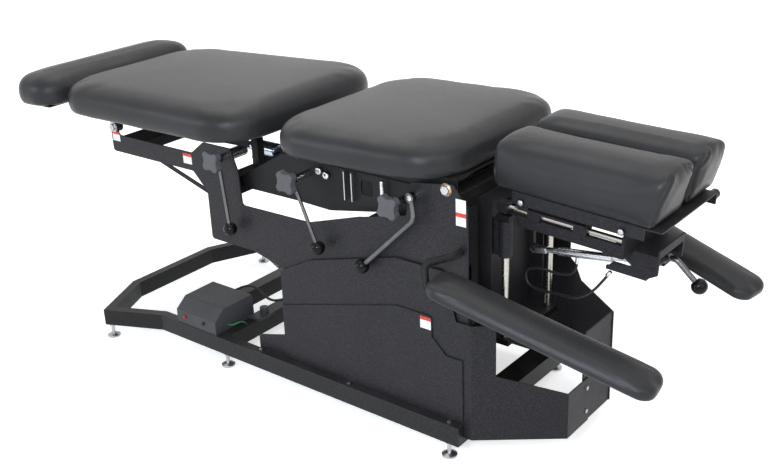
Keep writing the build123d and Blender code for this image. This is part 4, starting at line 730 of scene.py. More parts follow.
def round_ring(centre: Vector, side: Vector, across: Vector, turns: int) -> list[Vector]:
    """Gives evenly spaced points of a circle or an ellipse.

    Args:
        centre: Its middle.
        side: The radius towards the first point.
        across: The radius a quarter turn on.
        turns: How many points there are.

    Returns:
        The points.
    """
    angles = [2 * pi * turn / turns for turn in range(turns)]
    return [centre + side * cos(angle) + across * sin(angle) for angle in angles]


def lathe(
    name: str, base: Point, axis: Point, profile: Profile, turns: int
) -> bpy.types.Object:
    """Turns a profile about an axis.

    Args:
        name: The piece's name.
        base: Where the profile's zero height is.
        axis: The direction of its height.
        profile: Radius and height pairs, from one end to the other.
        turns: Sides round the axis.

    Returns:
        The closed object.
    """
    up = Vector(axis).normalized()
    side = up.orthogonal().normalized()
    across = up.cross(side)
    rings = []
    for radius, height in profile:
        wide = max(radius, LEAST_RADIUS)
        rings.append(round_ring(Vector(base) + up * height, side * wide, across * wide, turns))
    return lofted(name, rings)


def upright_face(left: float, right: float, low: float, high: float, y: float) -> tuple[Point, ...]:
    """Gives the corners of an upright rectangle that faces the near side.

    Args:
        left: Its foot-end X.
        right: Its head-end X.
        low: Its lower edge.
        high: Its upper edge.
        y: Where it stands.

    Returns:
        The four corners, in order.
    """
    return ((left, y, low), (right, y, low), (right, y, high), (left, y, high))


def bevelled_slab(
    name: str, corners: Sequence[Point], thickness: float, bevel: float
) -> bpy.types.Object:
    """Makes a flat plate with softened edges.

    Args:
        name: The piece's name.
        corners: Its outer face, in order.
        thickness: How far it goes back, against the face's normal.
        bevel: The width of its edge.

    Returns:
        The closed object.
    """
    face = [Vector(corner) for corner in corners]
    normal = (face[1] - face[0]).cross(face[2] - face[1]).normalized()
    middle = sum(face, Vector()) / len(face)
    inner = [corner + (middle - corner).normalized() * bevel for corner in face]
    rings = [
        [corner - normal * thickness for corner in face],
        [corner - normal * min(bevel, thickness / 2) for corner in face],
        inner,
    ]
    made = lofted(name, rings)
    made.data.shade_flat()
    return made


def swept_tube(name: str, points: Sequence[Point], radius: float) -> bpy.types.Object:
    """Makes a round NURBS cord with the route's points as its control points.

    Args:
        name: The piece's name.
        points: The route.
        radius: The cord's radius.

    Returns:
        The curve object.
    """
    curve = bpy.data.curves.new(name, "CURVE")
    curve.dimensions = "3D"
    curve.bevel_depth = radius
    curve.bevel_resolution = CORD_ROUNDNESS
    curve.resolution_u = CORD_STEPS
    curve.use_fill_caps = True
    line = curve.splines.new("NURBS")
    line.points.add(len(points) - 1)
    for control, point in zip(line.points, points):
        control.co = (*point, 1.0)
    line.use_endpoint_u = True
    line.order_u = CORD_ORDER
    made = bpy.data.objects.new(name, curve)
    bpy.context.scene.collection.objects.link(made)
    return made


def dressed(made: bpy.types.Object, finish: Finish, body: str) -> bpy.types.Object:
    """Gives a new piece its finish and body.

    Args:
        made: The piece.
        finish: Its finish.
        body: The body that it rides on.

    Returns:
        The same piece.
    """
    made.data.materials.clear()
    made.data.materials.append(finish.material())
    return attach(made, body)


def finished(made: bpy.types.Object) -> bpy.types.Mesh:
    """Returns a copy of an object's mesh with its modifiers applied."""
    graph = bpy.context.evaluated_depsgraph_get()
    return bpy.data.meshes.new_from_object(made.evaluated_get(graph), depsgraph=graph)


def apply_modifiers(made: bpy.types.Object) -> None:
    """Swaps an object's mesh for the one that its modifiers give, and drops them.

    Args:
        made: The object.
    """
    mesh = finished(made)
    made.modifiers.clear()
    made.data = mesh
    mesh.shade_smooth()


def ease(made: bpy.types.Object, rounds: int) -> None:
    """Adds a Smooth modifier of so many rounds.

    Args:
        made: The object.
        rounds: How often it smooths.
    """
    made.modifiers.new("ease", "SMOOTH").iterations = rounds


def coordinates(mesh: bpy.types.Mesh) -> np.ndarray:
    """Reads the corners of a mesh.

    Args:
        mesh: The mesh.

    Returns:
        An array with a row for each corner.
    """
    flat = np.empty(len(mesh.vertices) * 3, np.float32)
    mesh.vertices.foreach_get("co", flat)
    return flat.reshape(-1, 3).astype(float)


def set_coordinates(mesh: bpy.types.Mesh, rows: np.ndarray) -> None:
    """Writes the corners of a mesh."""
    mesh.vertices.foreach_set("co", rows.astype(np.float32).ravel())
    mesh.update()


def surface_of(mesh: bpy.types.Mesh) -> BVHTree:
    """Returns a tree that finds the nearest place on a mesh."""
    rows = [tuple(row) for row in coordinates(mesh)]
    return BVHTree.FromPolygons(rows, [tuple(face.vertices) for face in mesh.polygons])


# ---------------------------------------------------------------- upholstery


@dataclass(frozen=True)
class Placement:
    """The plane that a piece is laid out on: pitched, and turned in for an armrest."""

    origin: Point
    pitch: float
    toe_in: float = 0.0

    def matrix(self) -> Matrix:
        """Works out where the plane is.

        Returns:
            The matrix from the plane to the table's own frame.
        """
        slope, turn = radians(self.pitch), radians(self.toe_in)
        along = Vector((cos(slope) * cos(turn), cos(slope) * sin(turn), sin(slope)))
        up = Vector((-sin(slope) * cos(turn), -sin(slope) * sin(turn), cos(slope)))
        made = Matrix((along, up.cross(along), up)).transposed().to_4x4()
        made.translation = Vector(self.origin)
        return made


HEAD_PLANE = Placement((0.544, 0.0, 0.574), -3.4)


@dataclass(frozen=True)
class Padding:
    """How a soft piece is filled: cloth under pressure, held to its board."""

    voxel: float = 0.006
    pressure: float = 4.0
    frames: int = 14
    cap: float = 0.008
    board: float = 0.004
    fill: float = 0.8
    smoothing: int = 6
    settling: int = 10
    quality: int = 4

    def swell(self, made: bpy.types.Object) -> None:
        """Remeshes a closed form and lets it swell like stuffed cloth.

        Args:
            made: The form, laid out on its own plane with its board at Z = 0.
        """
        remesh = made.modifiers.new("even cells", "REMESH")
        remesh.mode = "VOXEL"
        remesh.voxel_size = self.voxel
        remesh.use_smooth_shade = True
        ease(made, self.smoothing)
        apply_modifiers(made)
        self._inflate(made)
        divide = made.modifiers.new("divide", "SUBSURF")
        divide.levels = 1
        apply_modifiers(made)

    def _inflate(self, made: bpy.types.Object) -> None:
        """Runs the cloth, caps each point's travel and keeps the result.

        Args:
            made: The remeshed form.
        """
        start = coordinates(made.data)
        pins = made.vertex_groups.new(name="board")
        held = [int(row) for row in np.nonzero(start[:, 2] < self.board)[0]]
        pins.add(held, 1.0, "REPLACE")
        cloth = made.modifiers.new("stuffing", "CLOTH")
        cloth.settings.vertex_group_mass = "board"
        cloth.settings.use_pressure = True
        cloth.settings.uniform_pressure_force = self.pressure
        cloth.settings.effector_weights.gravity = 0.0
        cloth.settings.quality = self.quality
        cloth.collision_settings.use_collision = False
        cloth.point_cache.frame_start = 1
        cloth.point_cache.frame_end = self.frames
        scene = bpy.context.scene
        for step in range(1, self.frames + 1):
            scene.frame_set(step)
        moved = coordinates(finished(made)) - start
        reach = np.linalg.norm(moved, axis=1, keepdims=True)
        share = self.cap / np.maximum(reach, self.cap)
        made.modifiers.clear()
        set_coordinates(made.data, start + moved * share)
        scene.frame_set(1)
        ease(made, self.settling)
        apply_modifiers(made)


def fit_into(made: bpy.types.Object, low: Vector, high: Vector) -> None:
    """Scales a soft piece's mesh so that it fills the box between two corners.

    Args:
        made: The piece, in its own plane.
        low: Lowest corner.
        high: Highest corner.
    """
    rows = coordinates(made.data)
    least, most = rows.min(0), rows.max(0)
    target_low, target_high = np.array(low), np.array(high)
    rows = target_low + (rows - least) / (most - least) * (target_high - target_low)
    set_coordinates(made.data, rows)


@dataclass
class Cushion:
    """A padded top: full sides, a soft roll and a low crown over a board."""

    name: str
    node: str
    body: str
    place: Placement
    length: float
    foot_half: float
    head_half: float
    thickness: float
    corner: float
    crown: float = 0.007
    roll: float = 1.0
    padding: Padding = field(default_factory=Padding)

    SIDE: ClassVar[Profile] = (
        (0.010, 0.0),
        (0.0035, 0.05),
        (0.0008, 0.16),
        (0.0, 0.36),
        (0.0012, 0.55),
        (0.0055, 0.71),
        (0.0135, 0.84),
        (0.0245, 0.92),
        (0.039, 0.97),
        (0.056, 0.995),
    )
    DOME: ClassVar[Profile] = ((0.12, 0.25), (0.34, 0.62), (0.62, 0.88), (0.94, 1.0))
    ARC_STEPS: ClassVar[int] = 12
    MIDDLE_GAP: ClassVar[float] = 0.002
    LEAST_ROUND: ClassVar[float] = 0.45

    def form(self) -> bpy.types.Object:
        """Lofts the cushion's starting form.

        Returns:
            The form on its own plane.
        """
        half_width = min(self.length / 2, self.foot_half, self.head_half)
        layers = [(inset * self.roll, share * self.thickness) for inset, share in self.SIDE]
        last = layers[-1][0]
        inward = half_width - last - self.MIDDLE_GAP
        layers += [
            (last + share * inward, self.thickness + rise * self.crown)
            for share, rise in self.DOME
        ]
        rings = []
        for inset, height in layers:
            x = self.length / 2 - inset
            foot, head = self.foot_half - inset, self.head_half - inset
            radius = max(self.corner - inset, self.LEAST_ROUND * (half_width - inset))
            corners = ((-x, -foot), (x, -head), (x, head), (-x, foot))
            outline = filleted(corners, [radius] * 4, self.ARC_STEPS)
            rings.append([Vector((point.x, point.y, height)) for point in outline])
        return lofted(self.name, rings)

    def build(self) -> bpy.types.Object:
        """Builds, stuffs, fits and dresses the cushion.

        Returns:
            The cushion.
        """
        made = self.form()
        self.padding.swell(made)
        half = max(self.foot_half, self.head_half)
        top = self.thickness + self.crown
        far_corner = Vector((self.length / 2, half, top))
        fit_into(made, Vector((-self.length / 2, -half, 0.0)), far_corner)
        made.data.transform(self.place.matrix())
        dressed(made, VINYL, self.body)
        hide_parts(self.node)
        return made


@dataclass
class Pillow:
    """One of the pair of head pillows, with darts at the corners of its head end."""

    side: Side
    place: Placement = HEAD_PLANE
    base: float = 0.0546
    start: float = -0.014
    length: float = 0.385
    thickness: float = 0.112
    rise: float = 0.011
    undercut: float = 0.022
    edge: float = 0.016
    padding: Padding = Padding(voxel=0.005, cap=0.004, fill=0.85, smoothing=5, settling=8)

    SECTION: ClassVar[Profile] = (
        (0.009, 0.0),
        (0.145, 0.0),
        (0.154, 0.052),
        (0.149, 0.107),
        (0.086, 0.114),
        (0.018, 0.112),
        (0.009, 0.098),
    )
    RADII: ClassVar[tuple[float, ...]] = (0.012, 0.018, 0.075, 0.032, 0.2, 0.012, 0.012)
    ARC_STEPS: ClassVar[int] = 7
    RADIUS_LOSS: ClassVar[float] = 20.0
    END_TURNS: ClassVar[tuple[float, ...]] = (0.0, 18.0, 38.0, 60.0, 82.0)
    MIDDLE_SHARES: ClassVar[tuple[float, ...]] = (0.2, 0.4, 0.6, 0.8)
    SEAM_DEPTHS: ClassVar[tuple[float, ...]] = (0.0028, 0.0028, 0.0012)
    SEAM_WIDTH: ClassVar[float] = 0.0026
    DARTS: ClassVar[tuple[tuple[Point, ...], ...]] = (
        (
            (0.3545, 0.143, 0.005),
            (0.358, 0.147, 0.030),
            (0.363, 0.144, 0.060),
            (0.3675, 0.134, 0.088),
            (0.370, 0.121, 0.110),
        ),
        (
            (0.356, 0.014, 0.010),
            (0.362, 0.011, 0.050),
            (0.367, 0.014, 0.084),
            (0.369, 0.030, 0.100),
            (0.371, 0.050, 0.113),
        ),
    )
    FOOT_SEAM: ClassVar[tuple[Point, ...]] = (
        (-0.002, 0.142, 0.004),
        (-0.006, 0.150, 0.040),
        (-0.006, 0.149, 0.080),
        (-0.005, 0.133, 0.104),
        (-0.005, 0.090, 0.111),
        (-0.005, 0.040, 0.110),
    )

    def _stations(self) -> list[tuple[float, float, float]]:
        """Lists where the sections stand, closely spaced round both ends.

        Returns:
            Each section's place along the pillow, its inset and its lean.
        """
        turns = [radians(turn) for turn in self.END_TURNS]
        lean = self.undercut / self.thickness
        head = self.start + self.length - self.undercut
        ends = [(self.edge * (1 - cos(turn)), self.edge * (1 - sin(turn))) for turn in turns]
        stations = sorted((self.start + back, inset, 0.0) for back, inset in ends)
        for share in self.MIDDLE_SHARES:
            stations.append((self.start + self.length * share, 0.0, lean * share))
        return stations + sorted((head - back, inset, lean) for back, inset in ends)

    def form(self) -> bpy.types.Object:
        """Lofts the pillow's starting form from foot to head.

        Returns:
            The form on the head plane.
        """
        inner, outer = self.SECTION[0][0], self.SECTION[2][0]
        middle_y, middle_z = (inner + outer) / 2, self.thickness / 2
        rings = []
        for along, inset, slope in self._stations():
            shrink_y = 1 - 2 * inset / (outer - inner)
            shrink_z = 1 - 2 * inset / self.thickness
            lift = 1 + self.rise / self.thickness * (along - self.start) / self.length
            corners = []
            for y, z in self.SECTION:
                height = (middle_z + (z - middle_z) * shrink_z) * lift
                corners.append((middle_y + (y - middle_y) * shrink_y, height))
            radii = [radius * (1 - inset * self.RADIUS_LOSS) for radius in self.RADII]
            outline = filleted(corners, radii, self.ARC_STEPS)
            sign = self.side.value
            rings.append(
                [Vector((along + slope * at.y, sign * at.x, self.base + at.y)) for at in outline]
            )
        return lofted(f"{self.side.word}_pillow_cover", rings)

    def seams(self) -> list[list[Vector]]:
        """Lays out the sewn lines.

        Returns:
            The darts and then the foot seam, on the head plane.
        """
        lines, sign = (*self.DARTS, self.FOOT_SEAM), self.side.value
        return [[Vector((x, sign * y, self.base + z)) for x, y, z in line] for line in lines]

    def build(self) -> bpy.types.Object:
        """Builds, stuffs, seams and dresses the pillow.

        Returns:
            The pillow.
        """
        made = self.form()
        raised = Matrix.Translation((0.0, 0.0, -self.base))
        made.data.transform(raised)
        self.padding.swell(made)
        near, far = sorted(self.side.value * self.SECTION[row][0] for row in (0, 2))
        head_top = Vector((self.start + self.length, far, self.thickness + self.rise))
        fit_into(made, Vector((self.start, near, 0.0)), head_top)
        made.data.transform(raised.inverted())
        for line, depth in zip(self.seams(), self.SEAM_DEPTHS):
            sink_seam(made, line, depth, self.SEAM_WIDTH)
        matrix = self.place.matrix()
        made.data.transform(matrix)
        body = f"{self.side.word}_pillow"
        dressed(made, VINYL, body)
        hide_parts(f"{self.side.word}_head_pillow")
        darts = [[matrix @ point for point in line] for line in self.seams()[:-1]]
        dressed(stitch_row(f"{self.side.word}_pillow_stitching", made, darts), THREAD, body)
        return made


SEAM_STEP = 0.002
SEAM_PUFF = 0.35
STITCH_STEP = 0.0042
STITCH_REACH = 0.0013
STITCH_RADIUS = 0.00045
STITCH_SIDES = 6
STITCH_RINGS = ((-1.0, 0.4), (-0.6, 1.0), (0.6, 1.0), (1.0, 0.4))


def resampled(line: Sequence[Vector], step: float) -> list[Vector]:
    """Spaces points evenly along each run of a broken line.

    Args:
        line: The line's corners.
        step: The distance aimed at between two points.

    Returns:
        The points.
    """
    points = []
    for start, end in zip(line, line[1:]):
        count = max(1, round((end - start).length / step))
        points += [start.lerp(end, part / count) for part in range(count)]
    return [*points, line[-1]]


def sink_seam(
    made: bpy.types.Object, line: Sequence[Vector], depth: float, width: float
) -> None:
    """Sinks a sewn line into a soft piece.

    Args:
        made: The piece.
        line: The seam's points near the surface, in the mesh's own frame.
        depth: How deep the stitches pull.
        width: Half the width of the groove.
    """
    mesh = made.data
    rows = coordinates(mesh)
    normals = np.empty(len(mesh.vertices) * 3, np.float32)
    mesh.vertex_normals.foreach_get("vector", normals)
    normals = normals.reshape(-1, 3).astype(float)
    surface = surface_of(mesh)
    path = np.array([surface.find_nearest(point)[0] for point in resampled(line, SEAM_STEP)])
    near = np.full(len(rows), 1.0)
    for point in path:
        near = np.minimum(near, np.linalg.norm(rows - point, axis=1))
    groove = np.exp(-((near / width) ** 2))
    puffed = np.exp(-(((near - 3 * width) / (2 * width)) ** 2))
    pull = depth * (groove - SEAM_PUFF * puffed)
    set_coordinates(mesh, rows - normals * pull[:, None])


def stitch_row(
    name: str, made: bpy.types.Object, lines: Sequence[Sequence[Vector]]
) -> bpy.types.Object:
    """Lays short stitches along seams on a piece's surface.

    Args:
        name: The new piece's name.
        made: The soft piece, in the table's own frame.
        lines: The seams.

    Returns:
        One object that holds every stitch.
    """
    surface = surface_of(made.data)
    points: list[Vector] = []
    faces: list[Sequence[int]] = []
    for line in lines:
        spots = resampled(line, STITCH_STEP)
        for start, end in zip(spots, spots[1:]):
            middle, normal, _, _ = surface.find_nearest((start + end) / 2)
            along = (end - start).normalized() * STITCH_REACH
            across = normal.cross(along).normalized() * STITCH_RADIUS
            lift = normal * STITCH_RADIUS
            first = len(points)
            for reach, size in STITCH_RINGS:
                centre = middle + along * reach
                points += round_ring(centre, across * size, lift * size, STITCH_SIDES)
            faces += tube_faces(first, STITCH_SIDES, len(STITCH_RINGS))
    return mesh_object(name, points, faces)


@dataclass
class ArmrestPad:
    """A slim padded armrest over its plate."""

    side: Side
    foot: Point = (0.515, 0.3196, 0.500)
    slope: float = 15.6
    toe_in: float = 9.0
    length: float = 0.494
    width: float = 0.102
    thickness: float = 0.032
    corner: float = 0.034
    crown: float = 0.004
    roll: float = 0.42

    def build(self) -> bpy.types.Object:
        """Builds the pad in the cushion's way.

        Returns:
            The pad.
        """
        sign = self.side.value
        slope, turn = radians(self.slope), radians(self.toe_in)
        along = Vector((cos(slope) * cos(turn), -sign * cos(slope) * sin(turn), -sin(slope)))
        up = Vector((sin(slope) * cos(turn), -sign * sin(slope) * sin(turn), cos(slope)))
        foot = Vector((self.foot[0], sign * self.foot[1], self.foot[2]))
        origin = foot - up * (self.thickness + self.crown) + along * self.length / 2
        name = self.side.word
        pad = Cushion(
            f"{name}_armrest_cover",
            f"{name}_armrest_pad",
            f"{name}_armrest",
            Placement(tuple(origin), -self.slope, -sign * self.toe_in),
            self.length,
            self.width / 2,
            self.width / 2,
            self.thickness,
            self.corner,
            self.crown,
            self.roll,
            Padding(voxel=0.004, cap=0.003, fill=0.7, board=0.003, smoothing=3, settling=6),
        )
        return pad.build()


@dataclass
class Tabletop:
    """The leg, thoracic and ankle cushions."""

    pitch: float = 1.6

    def build(self) -> None:
        """Builds the three cushions."""
        wide = Padding(voxel=0.007, cap=0.0035, fill=0.8)
        narrow = Padding(voxel=0.005, cap=0.004, fill=0.85)
        Cushion(
            "leg_cushion_cover", "leg_cushion", "leg_section",
            Placement((-0.437, 0.0, 0.634), self.pitch),
            0.726, 0.264, 0.288, 0.084, 0.112, padding=wide,
        ).build()
        Cushion(
            "thoracic_cushion_cover", "thoracic_cushion", "thoracic_section",
            Placement((0.2435, 0.0, 0.649), self.pitch),
            0.499, 0.270, 0.262, 0.079, 0.112, padding=wide,
        ).build()
        Cushion(
            "ankle_cushion_cover", "ankle_cushion", "ankle_rest",
            Placement((-0.8935, 0.0, 0.628), self.pitch),
            0.175, 0.283, 0.283, 0.087, 0.072, 0.003, 1.2, padding=narrow,
        ).build()


# ---------------------------------------------------------------- CAD nodes and small parts


@dataclass
class FrameFinishes:
    """The finish of every CAD node that stays."""

    coats: dict[Finish, tuple[str, ...]] = field(
        default_factory=lambda: {
            RAIL_COAT: ("base_frame", "leg_struts", "cross_tubes"),
            FRAME_COAT: (
                "near_side_sheet",
                "far_side_sheet",
                "near_cover_panel",
                "near_upper_plate",
                "far_upper_plate",
                "inner_column",
                "outer_column",
                "head_column_plate",
                "tilt_frame",
                "slide_carriage",
                "cervical_pan",
                "guide_tubes",
            ),
            INNER_COAT: (
                "mechanism_plates",
                "leg_pan",
                "thoracic_pan",
                "ankle_bracket",
                "ankle_sleeves",
                "actuator_barrel",
                "carriage_blocks",
                "arm_stay",
                "near_armrest_tube",
                "far_armrest_tube",
            ),
            ZINC: ("levelling_feet", "base_screws", "hinge_bolts"),
            CHROME: ("actuator_rod",),
            ROD_STEEL: ("slide_rods", "guide_rods"),
            LEVER_STEEL: ("head_lever", "pelvic_lever", "thoracic_lever", "breakaway_lever"),
            LOCK_STEEL: (
                "tilt_lock_barrel",
                "tilt_lock_rod",
                "control_spindles",
                "spring_housings",
            ),
            CANISTER: ("air_canister",),
            KNOB_GREY: ("pelvic_tension_knob", "thoracic_tension_knob", "breakaway_tension_knob"),
            BALL_BLACK: (
                "pelvic_lever_ball",
                "thoracic_lever_ball",
                "breakaway_lever_ball",
                "head_lever_ball",
                "pillow_lock_knob",
            ),
            PACK_GREY: ("power_pack_lid", "power_pack_tray"),
        }
    )

    def apply(self) -> None:
        """Gives each node its material."""
        for finish, nodes in self.coats.items():
            for node in nodes:
                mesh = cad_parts[node].data
                mesh.materials.clear()
                mesh.materials.append(finish.material())


@dataclass
class Cords:
    """The release cable, the supply cable and the earth wire, along their solids' routes."""

    cable: tuple[Point, ...] = (
        (0.6667, 0.0, 0.4333),
        (0.664, 0.0, 0.407),
        (0.621, 0.0, 0.394),
        (0.575, 0.0, 0.401),
        (0.536, 0.0, 0.386),
        (0.541, 0.0, 0.350),
        (0.582, -0.006, 0.347),
        (0.636, -0.024, 0.360),
        (0.688, -0.044, 0.371),
        (0.728, -0.048, 0.398),
        (0.752, -0.047, 0.430),
        (0.7695, -0.046, 0.4574),
    )
    supply: tuple[Point, ...] = (
        (-0.349, -0.105, 0.126),
        (-0.349, -0.076, 0.126),
        (-0.325, -0.059, 0.138),
        (-0.284, -0.062, 0.149),
        (-0.222, -0.072, 0.122),
        (-0.164, -0.070, 0.146),
        (-0.106, -0.060, 0.150),
        (-0.046, -0.046, 0.128),
        (0.016, -0.032, 0.112),
        (0.072, -0.020, 0.110),
        (0.122, -0.008, 0.122),
        (0.172, 0.0, 0.150),
        (0.228, 0.0, 0.150),
    )
    earth: tuple[Point, ...] = (
        (-0.254, -0.203, 0.100),
        (-0.239, -0.203, 0.100),
        (-0.231, -0.187, 0.106),
        (-0.230, -0.166, 0.100),
        (-0.233, -0.155, 0.0864),
    )

    def build(self) -> None:
        for row in (
            ("release_cable", "tilt_lock_cable", self.cable, 0.003, 0.4575, RUBBER, "lock_barrel"),
            ("pack_supply_cable", "supply_cable", self.supply, 0.0035, 0.6371, RUBBER, "base"),
            ("pack_earth_wire", "earth_wire", self.earth, 0.00175, 0.0707, EARTH_GREEN, "base"),
        ):
            self._lay(*row)

    @staticmethod
    def _lay(
        name: str,
        node: str,
        points: Sequence[Point],
        radius: float,
        length: float,
        finish: Finish,
        body: str,
    ) -> None:
        """Lays one cord in place of its solid.

        Args:
            name: The piece's name.
            node: The node whose solid it replaces.
            points: Its route.
            radius: The cord's radius.
            length: The length that part.py gives for its route; it is not used.
            finish: Its finish.
            body: The body that it rides on.
        """
        made = dressed(swept_tube(name, points, radius), finish, body)
        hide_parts(node)


# Outer faces that small parts lie on.
PLATE_FACE = -0.222
LATCH_FACE = -0.190
SHEET_FACE = -0.231
PACK_FACE = -0.2475


@dataclass
class Label:
    """A plain sticker: a white field under or over a red band, with no words."""

    name: str
    body: str
    left: float
    low: float
    width: float
    height: float
    face_y: float
    band_low: float = 0.72
    band_high: float = 1.0
    film: float = 0.0004
    bevel: float = 0.0001

    def build(self) -> None:
        """Builds the white field and its red band."""
        self._strip("field", 0.0, 1.0, self.face_y, LABEL_WHITE)
        self._strip("band", self.band_low, self.band_high, self.face_y - self.film, LABEL_RED)

    def _strip(self, part: str, start: float, end: float, back_y: float, finish: Finish) -> None:
        """Lays one strip of film over part of the label's height.

        Args:
            part: What the strip is, for its name.
            start: Where it starts, as a share of the height.
            end: Where it ends, as a share of the height.
            back_y: The face that it lies on.
            finish: Its finish.
        """
        low, high = self.low + start * self.height, self.low + end * self.height
        corners = upright_face(self.left, self.left + self.width, low, high, back_y - self.film)
        made = bevelled_slab(f"{self.name}_{part}", corners, self.film, self.bevel)
        dressed(made, finish, self.body)


@dataclass
class Turned:
    """A small turned part: a cap, stud, roller or port."""

    name: str
    body: str
    base: Point
    axis: Point
    profile: Profile
    finish: Finish
    turns: int = 28

    def build(self) -> None:
        """Builds and dresses the part."""
        made = lathe(self.name, self.base, self.axis, self.profile, self.turns)
        dressed(made, self.finish, self.body)


@dataclass
class Fittings:
    """The small parts that the photograph shows on and under the table."""

    near: Point = (0.0, -1.0, 0.0)
    up: Point = (0.0, 0.0, 1.0)
    pan_bolts: tuple[Point, Point] = ((0.058, -0.137, 0.035), (0.284, -0.137, 0.035))
    channel_low: float = 0.548
    channel_high: float = 0.616
    channel_bevel: float = 0.0004

    DISC: ClassVar[Profile] = ((0.0134, 0.0), (0.0134, 0.0012), (0.0, 0.0012))
    ROLLER: ClassVar[Profile] = (
        (0.0, 0.0),
        (0.0045, 0.0),
        (0.0045, 0.004),
        (0.009, 0.0045),
        (0.009, 0.012),
        (0.006, 0.0135),
        (0.0, 0.0135),
    )
    FERRULE: ClassVar[Profile] = (
        (0.0032, 0.0),
        (0.0046, 0.0008),
        (0.0046, 0.0132),
        (0.0036, 0.014),
        (0.0, 0.014),
    )
    PORT: ClassVar[Profile] = ((0.0045, 0.0), (0.0045, 0.005), (0.003, 0.006), (0.0, 0.006))
    CAP: ClassVar[Profile] = ((1.0, 0.0), (1.0, 0.4), (0.86, 0.8), (0.5, 1.0), (0.0, 1.0))
    THREAD_ROOT: ClassVar[float] = 0.84

    @classmethod
    def cap(cls, radius: float, height: float) -> Profile:
        """Gives a low domed cap's profile.

        Args:
            radius: The cap's radius.
            height: Its height.

        Returns:
            Radius and height pairs.
        """
        return tuple((wide * radius, tall * height) for wide, tall in cls.CAP)

    @classmethod
    def thread(cls, radius: float, length: float, pitch: float) -> Profile:
        """Gives a ribbed stud's profile.

        Args:
            radius: Radius over the ribs.
            length: The stud's length.
            pitch: Half the distance between two ribs.

        Returns:
            Radius and height pairs.
        """
        steps = int(length / pitch)
        root = radius * cls.THREAD_ROOT
        rows = [(root if step % 2 else radius, step * pitch) for step in range(steps)]
        return ((0.0, 0.0), *rows, (0.0, steps * pitch))

    @staticmethod
    def labels() -> list[Label]:
        """Lists the stickers of the lift plates and the base.

        Returns:
            The labels.
        """
        return [
            Label("foot_label", "lift", -0.612, 0.561, 0.030, 0.026, PLATE_FACE),
            Label("pelvic_label", "lift", -0.334, 0.547, 0.031, 0.027, PLATE_FACE),
            Label("latch_label", "lift", 0.092, 0.553, 0.029, 0.029, LATCH_FACE),
            Label("arrow_label", "lift", 0.503, 0.592, 0.025, 0.030, PLATE_FACE, 0.0, 0.02),
            Label("head_label", "lift", 0.503, 0.563, 0.025, 0.028, PLATE_FACE),
            Label("base_label", "base", 0.410, 0.302, 0.029, 0.029, SHEET_FACE),
        ]

    def turned(self) -> list[Turned]:
        """Lists the studs, rollers, caps and ports.

        Returns:
            The turned parts.
        """
        matrix = HEAD_PLANE.matrix()
        foot_bolt, head_bolt = (tuple(matrix @ Vector(bolt)) for bolt in self.pan_bolts)
        near, up = self.near, self.up
        bolt_cap, nut = self.cap(0.0066, 0.0022), self.cap(0.0095, 0.007)
        stud = self.thread(0.0052, 0.052, 0.0022)
        cable_end, along_cable = (0.7610, -0.0464, 0.4460), (0.0085, 0.0004, 0.0114)
        rows = (
            ("foot_pan_bolt_cap", "cervical_section", foot_bolt, near, bolt_cap, ZINC),
            ("head_pan_bolt_cap", "cervical_section", head_bolt, near, bolt_cap, ZINC),
            ("hinge_bronze_washer", "lift", (0.480, -0.224, 0.637), near, self.DISC, BRONZE),
            ("latch_roller", "lift", (0.106, LATCH_FACE, 0.601), near, self.ROLLER, SPRING_STEEL),
            ("latch_roller_pair", "lift", (0.128, LATCH_FACE, 0.594), near, self.ROLLER, CHROME),
            ("tension_stud", "lift", (0.297, -0.206, 0.566), up, stud, CHROME),
            ("tension_stud_nut", "lift", (0.297, -0.206, 0.560), up, nut, SPRING_STEEL),
            ("cable_end_ferrule", "lock_barrel", cable_end, along_cable, self.FERRULE, LOCK_STEEL),
            ("pack_port_foot", "base", (-0.372, PACK_FACE, 0.108), near, self.PORT, PORT_RED),
            ("pack_port_head", "base", (-0.300, PACK_FACE, 0.108), near, self.PORT, RUBBER),
        )
        return [Turned(*row) for row in rows]

    def channel(self) -> None:
        """Builds the folded bright channel beside the latch."""
        for name, left, right, front in (
            ("latch_channel_web", 0.186, 0.210, -0.1925),
            ("latch_channel_foot", 0.186, 0.1885, -0.2065),
            ("latch_channel_head", 0.2075, 0.210, -0.2065),
        ):
            corners = upright_face(left, right, self.channel_low, self.channel_high, front)
            slab = bevelled_slab(name, corners, LATCH_FACE - front, self.channel_bevel)
            dressed(slab, SPRING_STEEL, "lift")

    def build(self) -> None:
        """Builds every fitting."""
        for part in (*self.labels(), *self.turned()):
            part.build()
        self.channel()


# ---------------------------------------------------------------- studio


@dataclass(frozen=True)
class Lamp:
    """One rectangular soft lamp, hung at a place and turned to its aim."""

    name: str
    place: Point
    aim: Point
    width: float
    height: float
    power: float
    colour: Colour

    def hang(self) -> None:
        """Makes the light and turns it to its aim."""
        light = bpy.data.lights.new(self.name, "AREA")
        light.shape = "RECTANGLE"
        light.size, light.size_y = self.width, self.height
        light.energy = self.power
        light.color = self.colour
        made = bpy.data.objects.new(self.name, light)
        bpy.context.scene.collection.objects.link(made)
        made.location = self.place
        toward = Vector(self.aim) - Vector(self.place)
        made.rotation_euler = toward.to_track_quat("-Z", "Y").to_euler()


